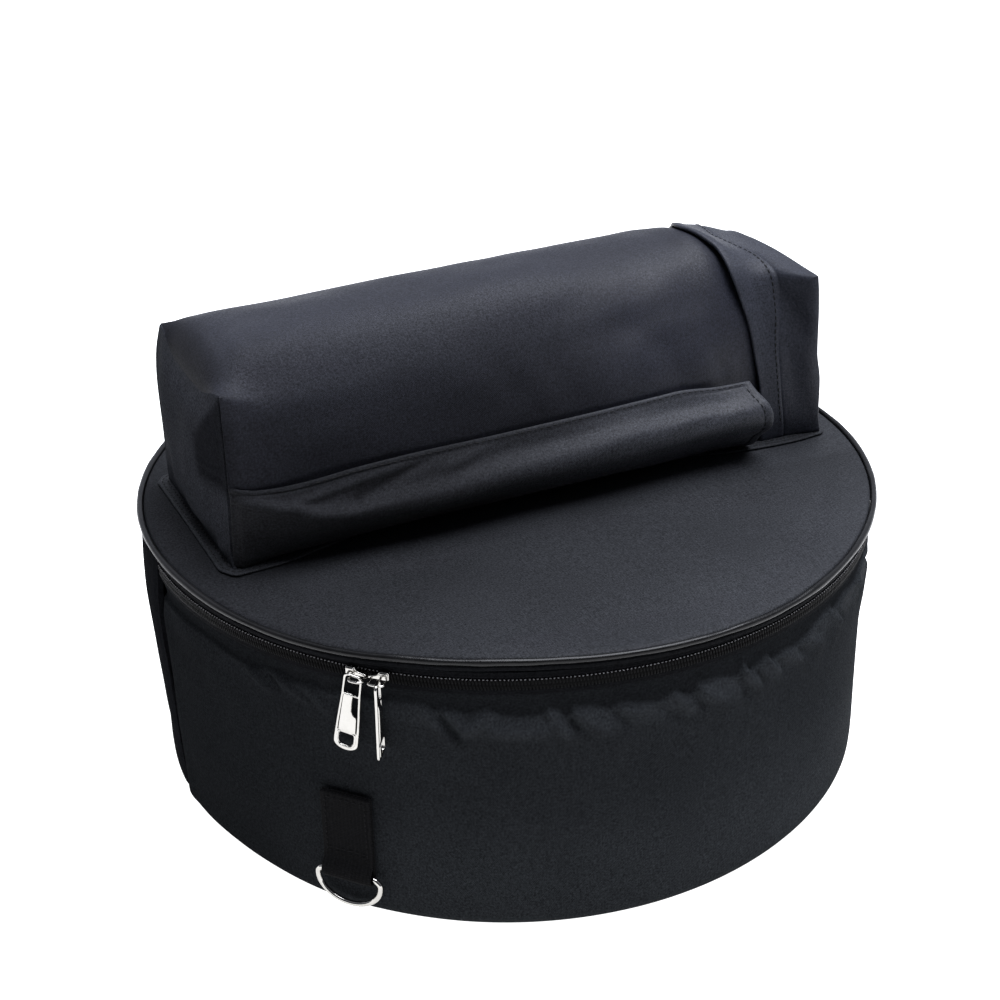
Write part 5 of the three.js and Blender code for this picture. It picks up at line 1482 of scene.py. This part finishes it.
def round_outline(points, soft, per=6):
    """A polygon with its corners rounded off."""
    p = np.asarray(points, float)
    out = []
    n = len(p)
    for i in range(n):
        a, b, c = p[i - 1], p[i], p[(i + 1) % n]
        ab, cb = a - b, c - b
        la, lc = np.linalg.norm(ab), np.linalg.norm(cb)
        cut = min(soft, la * 0.48, lc * 0.48)
        s, e = b + ab / la * cut, b + cb / lc * cut
        for t in np.linspace(0, 1, per):
            out.append((1 - t) ** 2 * s + 2 * t * (1 - t) * b + t * t * e)
    return np.array(out)


def ringed(shape, outer, inner, low, high, soft, place, rings=4, crown=0.0):
    """A flat piece with an opening: two closed outlines with equal numbers of points."""
    outer, inner = np.asarray(outer, float), np.asarray(inner, float)
    n = len(outer)
    loops = []
    mid = (high + low) / 2
    h = (high - low) / 2
    for side, line, other in ((1, outer, inner), (-1, inner, outer)):
        towards = unit(other - line)
        for a in np.linspace(90, -90, 2 * rings - 1) if side == 1 else np.linspace(-90, 90, 2 * rings - 1):
            shrink = soft * (1 - math.cos(rad(a)))
            depth = mid + (h - soft) * np.sign(math.sin(rad(a))) * (abs(a) > 1e-6) + soft * math.sin(rad(a))
            loops.append(np.concatenate([line + towards * shrink, np.full((n, 1), depth)], -1))
    sections = np.stack(loops, 1)            # n x loops x 3
    if crown:
        pass
    v, q, t = wrap(sections, loop=True)
    return shape.add(place(v), q, t)


def make_slider(side):
    hand = -1 if side == "left" else 1
    az = SLIDER_AZ[side]
    legs = BRIDGE_LEGS[side]

    def s(y):
        return -hand * y

    def place(v):
        # outline x -> along the wall, outline y -> up, depth -> outward
        return holder(az, np.stack([v[:, 2], v[:, 0], v[:, 1]], -1), SLIDER_Z)

    shape = Shape()
    body = round_outline([[s(-5.0), 2.1], [s(-0.6), 2.1], [s(0.5), 0.3], [s(4.8), -0.6], [s(4.8), -1.8], [s(-5.0), -1.8]], 0.7)
    pebble(shape, body, SLIDER_IN, SLIDER_IN + 1.5, 0.4, place)
    block = round_outline([[s(-4.75), 1.85], [s(-0.7), 1.85], [s(-0.7), -1.45], [s(-4.75), -1.45]], 0.6)
    pebble(shape, block, SLIDER_IN + 1.2, SLIDER_IN + 2.15, 0.3, place)
    run = np.array([
        [SLIDER_IN + 1.0, legs[0]], [BRIDGE_OUT - 1.6, legs[0]], [BRIDGE_OUT - 0.5, legs[0] + 0.5], [BRIDGE_OUT, legs[0] + 1.6],
        [BRIDGE_OUT, legs[1] - 1.6], [BRIDGE_OUT - 0.5, legs[1] - 0.5], [BRIDGE_OUT - 1.6, legs[1]], [SLIDER_IN + 1.0, legs[1]]])
    z = np.full(8, BRIDGE_Z - SLIDER_Z)
    z[0] = z[-1] = BRIDGE_Z - SLIDER_Z + 0.3
    path = np.stack([run[:, 0], run[:, 1], z], -1)
    dense = resample(rounded(path, 8), 48)
    tube(holder(az, dense, SLIDER_Z), BRIDGE_WIRE, 12, shape=shape)
    shape.build(f"slider_{side}_metal", NICKEL, "nickel", body=f"slider_{side}", stands_for=[f"slider_{side}"])


make_slider("left")
make_slider("right")


def pull_shape(place):
    """Rails round a window at the top and an eye at the end, with a curled cover between."""
    length, head, top_half, end_half = 41.0, 1.9, 4.4, 5.8
    end = length - head
    eye_y = -end + 5.9

    def half_at(y):
        return np.interp(-y, [-head, -head + 1.4, 8, end * 0.62, end * 0.84, end], [top_half - 1.0, top_half, top_half + 0.1, mix(top_half, end_half, 0.75), end_half, end_half])

    shape = Shape()
    # outline of the whole pull
    pts = [[top_half - 1.3, head], [top_half, head - 1.4], [top_half + 0.1, -8], [mix(top_half, end_half, 0.75), -end * 0.62], [end_half, -end * 0.84]]
    tail = [[end_half * math.cos(a), -end + 3.8 - 3.8 * math.sin(a)] for a in np.linspace(0, math.pi, 15)]
    outline = np.array(pts + tail + [[-x, y] for x, y in pts[::-1]])
    closed = np.vstack([outline, outline[:1]])

    # top part with its window
    n = 96
    upper = np.array([[half_at(-9.6), -9.6], [top_half + 0.1, -8], [top_half, head - 1.4], [top_half - 1.3, head], [-(top_half - 1.3), head],
                      [-top_half, head - 1.4], [-(top_half + 0.1), -8], [-half_at(-9.6), -9.6]])
    window = np.array([[3.5, -8.6], [3.5, -6], [3.3, 0.0], [2.4, 0.9], [-2.4, 0.9], [-3.3, 0.0], [-3.5, -6], [-3.5, -8.6]])
    ringed(shape, spread(round_outline(upper, 0.9), n, (0, -4)), spread(round_outline(window, 0.8), n, (0, -4)), -0.6, 0.6, 0.42, place)
    # lower part with its eye
    eye = [[2.9, 3.3], [3.5, 2.4], [3.5, -1.6], [2.2, -3.2], [-2.2, -3.2], [-3.5, -1.6], [-3.5, 2.4], [-2.9, 3.3]]
    eye = np.array([[x, eye_y + y] for x, y in eye])
    lower = np.array([[half_at(-28.6), -28.6], [half_at(-31), -31], [end_half, -end * 0.84]] + tail + [[-end_half, -end * 0.84], [-half_at(-31), -31], [-half_at(-28.6), -28.6]])
    ringed(shape, spread(round_outline(lower, 0.6), n, (0, eye_y + 0.4)), spread(round_outline(eye, 1.2), n, (0, eye_y + 0.4)), -0.6, 0.6, 0.42, place)
    # raised rim round the eye
    rim = spread(round_outline(np.array([[x * 1.22, (y - eye_y) * 1.2 + eye_y] for x, y in eye]), 1.4), 64, (0, eye_y))
    path = np.concatenate([rim, np.full((64, 1), 0.45)], -1)
    tube_in(shape, path, 0.55, place, closed=True)
    # side rails from the top part to the lower one
    for sign in (-1, 1):
        ys = np.linspace(-7.5, -30.5, 24)
        path = np.stack([sign * (half_at(ys) - 0.55), ys, np.zeros(24)], -1)
        tube_in(shape, path, 0.62, place)
    # cover: a sheet that curls over from side to side
    ys = np.linspace(-8.9, -29.1, 26)
    across = np.linspace(-1, 1, 15)
    half = np.interp(-ys, [8.9, 29.1], [3.1, 3.9])
    # its upper right part is cut away
    shown = np.where(across > 0, across[None] * (1 - 0.72 * (1 - smooth(-17.0, -21.0, ys)))[:, None], across[None])
    lift = 0.75 + 0.55 * np.sqrt(np.clip(1 - across ** 2, 0, 1))
    ends = 1 - 0.35 * bell((ys + 8.9), 1.4) - 0.35 * bell((ys + 29.1), 1.4)
    m = np.stack([half[:, None] * shown, np.broadcast_to(ys[:, None], (26, 15)), ends[:, None] * lift[None] - 0.1], -1)
    part = shell(m, 0.5, turns=3)
    v, q, t = part.v[0], part.q[0], part.t[0]
    shape.add(place(v), q, t)
    # floor under the cover, narrower than it
    floor = round_outline([[0.6, -8.4], [0.6, -19.5], [2.9, -21.5], [3.1, -29.6], [-3.1, -29.6], [-2.3, -8.4]], 0.4)
    pebble(shape, floor, -0.45, 0.25, 0.2, place)
    return shape


def spread(line, count, centre):
    """Points of a closed outline at even angles round a centre."""
    line = np.asarray(line, float)
    closed = np.vstack([line, line[:1]])
    dense = resample(closed, 2000)[:-1]
    angle = np.arctan2(dense[:, 1] - centre[1], dense[:, 0] - centre[0])
    order = np.argsort(angle)
    angle, dense = angle[order], dense[order]
    want = np.linspace(-np.pi, np.pi, count, endpoint=False)
    return np.stack([np.interp(want, angle, dense[:, c], period=2 * np.pi) for c in range(2)], -1)


def tube_in(shape, path, radius, place, closed=False):
    part = tube(path, radius, 10, closed=closed, hint=(0, 0, 1))
    v, q, t = part.v[0], part.q[0], part.t[0]
    return shape.add(place(v), q, t)


def make_pulls():
    lean, off = rad(-9), 1.4

    def left(v):
        x, y = v[:, 0] + off, v[:, 1]
        xr, yr = x * math.cos(lean) - y * math.sin(lean), x * math.sin(lean) + y * math.cos(lean)
        local = np.stack([v[:, 2], xr, yr], -1) + np.array([191.95, BRIDGE_LEGS["left"][0], BRIDGE_Z])
        return holder(SLIDER_AZ["left"], local)

    def right_(v):
        turn = rad(9)
        local = np.stack([-v[:, 0], v[:, 2], v[:, 1] * 0.955], -1)
        x = local[:, 0] * math.cos(turn) - local[:, 1] * math.sin(turn)
        y = local[:, 0] * math.sin(turn) + local[:, 1] * math.cos(turn)
        local = np.stack([x, y, local[:, 2]], -1) + np.array([BRIDGE_OUT, 1.6, BRIDGE_Z])
        return holder(SLIDER_AZ["right"], local)

    pull_shape(left).build("pull_left_metal", NICKEL, "nickel", body="pull_left", stands_for=["pull_left"])
    pull_shape(right_).build("pull_right_metal", NICKEL, "nickel", body="pull_right", stands_for=["pull_right"])


make_pulls()

# ---------------------------------------------------------------- floor, light


def make_stage():
    size = 6000.0
    mesh = bpy.data.meshes.new("floor")
    mesh.from_pydata([(-size * MM, -size * MM, 0), (size * MM, -size * MM, 0), (size * MM, size * MM, 0), (-size * MM, size * MM, 0)], [], [(0, 1, 2, 3)])
    floor = bpy.data.objects.new("floor", mesh)
    scene.collection.objects.link(floor)
    n = Nodes("floor_paper")
    place = n.add("ShaderNodeTexCoord").outputs["Object"]
    grain = n.noise(place, 3.0, 2.0)
    colour = n.add("ShaderNodeVectorMath", operation="SCALE")
    colour.inputs[0].default_value = (0.38, 0.38, 0.38)
    n.link(n.span(grain, 0.2, 0.8, 0.99, 1.01), colour.inputs["Scale"])
    n.link(colour.outputs[0], n.bsdf.inputs["Base Color"])
    n.set(Roughness=0.9, Specular_IOR_Level=0.2, Emission_Color=(1.0, 1.0, 1.0, 1.0), Emission_Strength=1.2)
    mesh.materials.append(n.material)


make_stage()


def lamp(name, kind, place, aim, energy, size=1.0, size_y=None, colour=(1, 1, 1)):
    data = bpy.data.lights.new(name, kind)
    data.energy = energy
    data.color = colour
    if kind == "AREA":
        data.shape = "RECTANGLE"
        data.size = size
        data.size_y = size_y or size
    obj = bpy.data.objects.new(name, data)
    scene.collection.objects.link(obj)
    obj.location = place
    direction = Vector(aim) - Vector(place)
    obj.rotation_mode = "QUATERNION"
    obj.rotation_quaternion = direction.to_track_quat("-Z", "Y")
    return obj


# A studio that is bright above, behind and to the right of the bag, and dimmer in front of it.
world = bpy.data.worlds.new("studio")
scene.world = world
world.use_nodes = True
sky = world.node_tree
sky_place = sky.nodes.new("ShaderNodeTexCoord")
sky_dot = sky.nodes.new("ShaderNodeVectorMath")
sky_dot.operation = "DOT_PRODUCT"
bright_side = Vector((0.62, 0.70, 0.35)).normalized()
sky_dot.inputs[1].default_value = tuple(bright_side)
sky_span = sky.nodes.new("ShaderNodeMapRange")
sky_span.interpolation_type = "SMOOTHSTEP"
for key, x in (("From Min", -0.35), ("From Max", 0.75), ("To Min", 0.10), ("To Max", 0.8)):
    sky_span.inputs[key].default_value = x
sky.links.new(sky_place.outputs["Generated"], sky_dot.inputs[0])
sky.links.new(sky_dot.outputs["Value"], sky_span.inputs["Value"])
sky.links.new(sky_span.outputs[0], sky.nodes["Background"].inputs[1])
sky.nodes["Background"].inputs[0].default_value = (0.93, 0.97, 1.10, 1.0)
# Beyond the floor's edge the room is as white as the floor.
sky_room = sky.nodes.new("ShaderNodeBackground")
sky_room.inputs[0].default_value = (1.0, 1.0, 1.0, 1.0)
sky_room.inputs[1].default_value = 1.0
sky_path = sky.nodes.new("ShaderNodeLightPath")
sky_mix = sky.nodes.new("ShaderNodeMixShader")
sky.links.new(sky_path.outputs["Is Camera Ray"], sky_mix.inputs[0])
sky.links.new(sky.nodes["Background"].outputs[0], sky_mix.inputs[1])
sky.links.new(sky_room.outputs[0], sky_mix.inputs[2])
sky.links.new(sky_mix.outputs[0], sky.nodes["World Output"].inputs[0])
overhead = lamp("overhead", "SUN", (0.22, -0.04, 1.0), (0, 0, 0), 7.8, colour=(0.96, 0.985, 1.06))
overhead.data.angle = math.radians(52)

scene.view_settings.view_transform = "Standard"
scene.view_settings.look = "None"
scene.view_settings.exposure = 0.0
scene.view_settings.gamma = 1.0
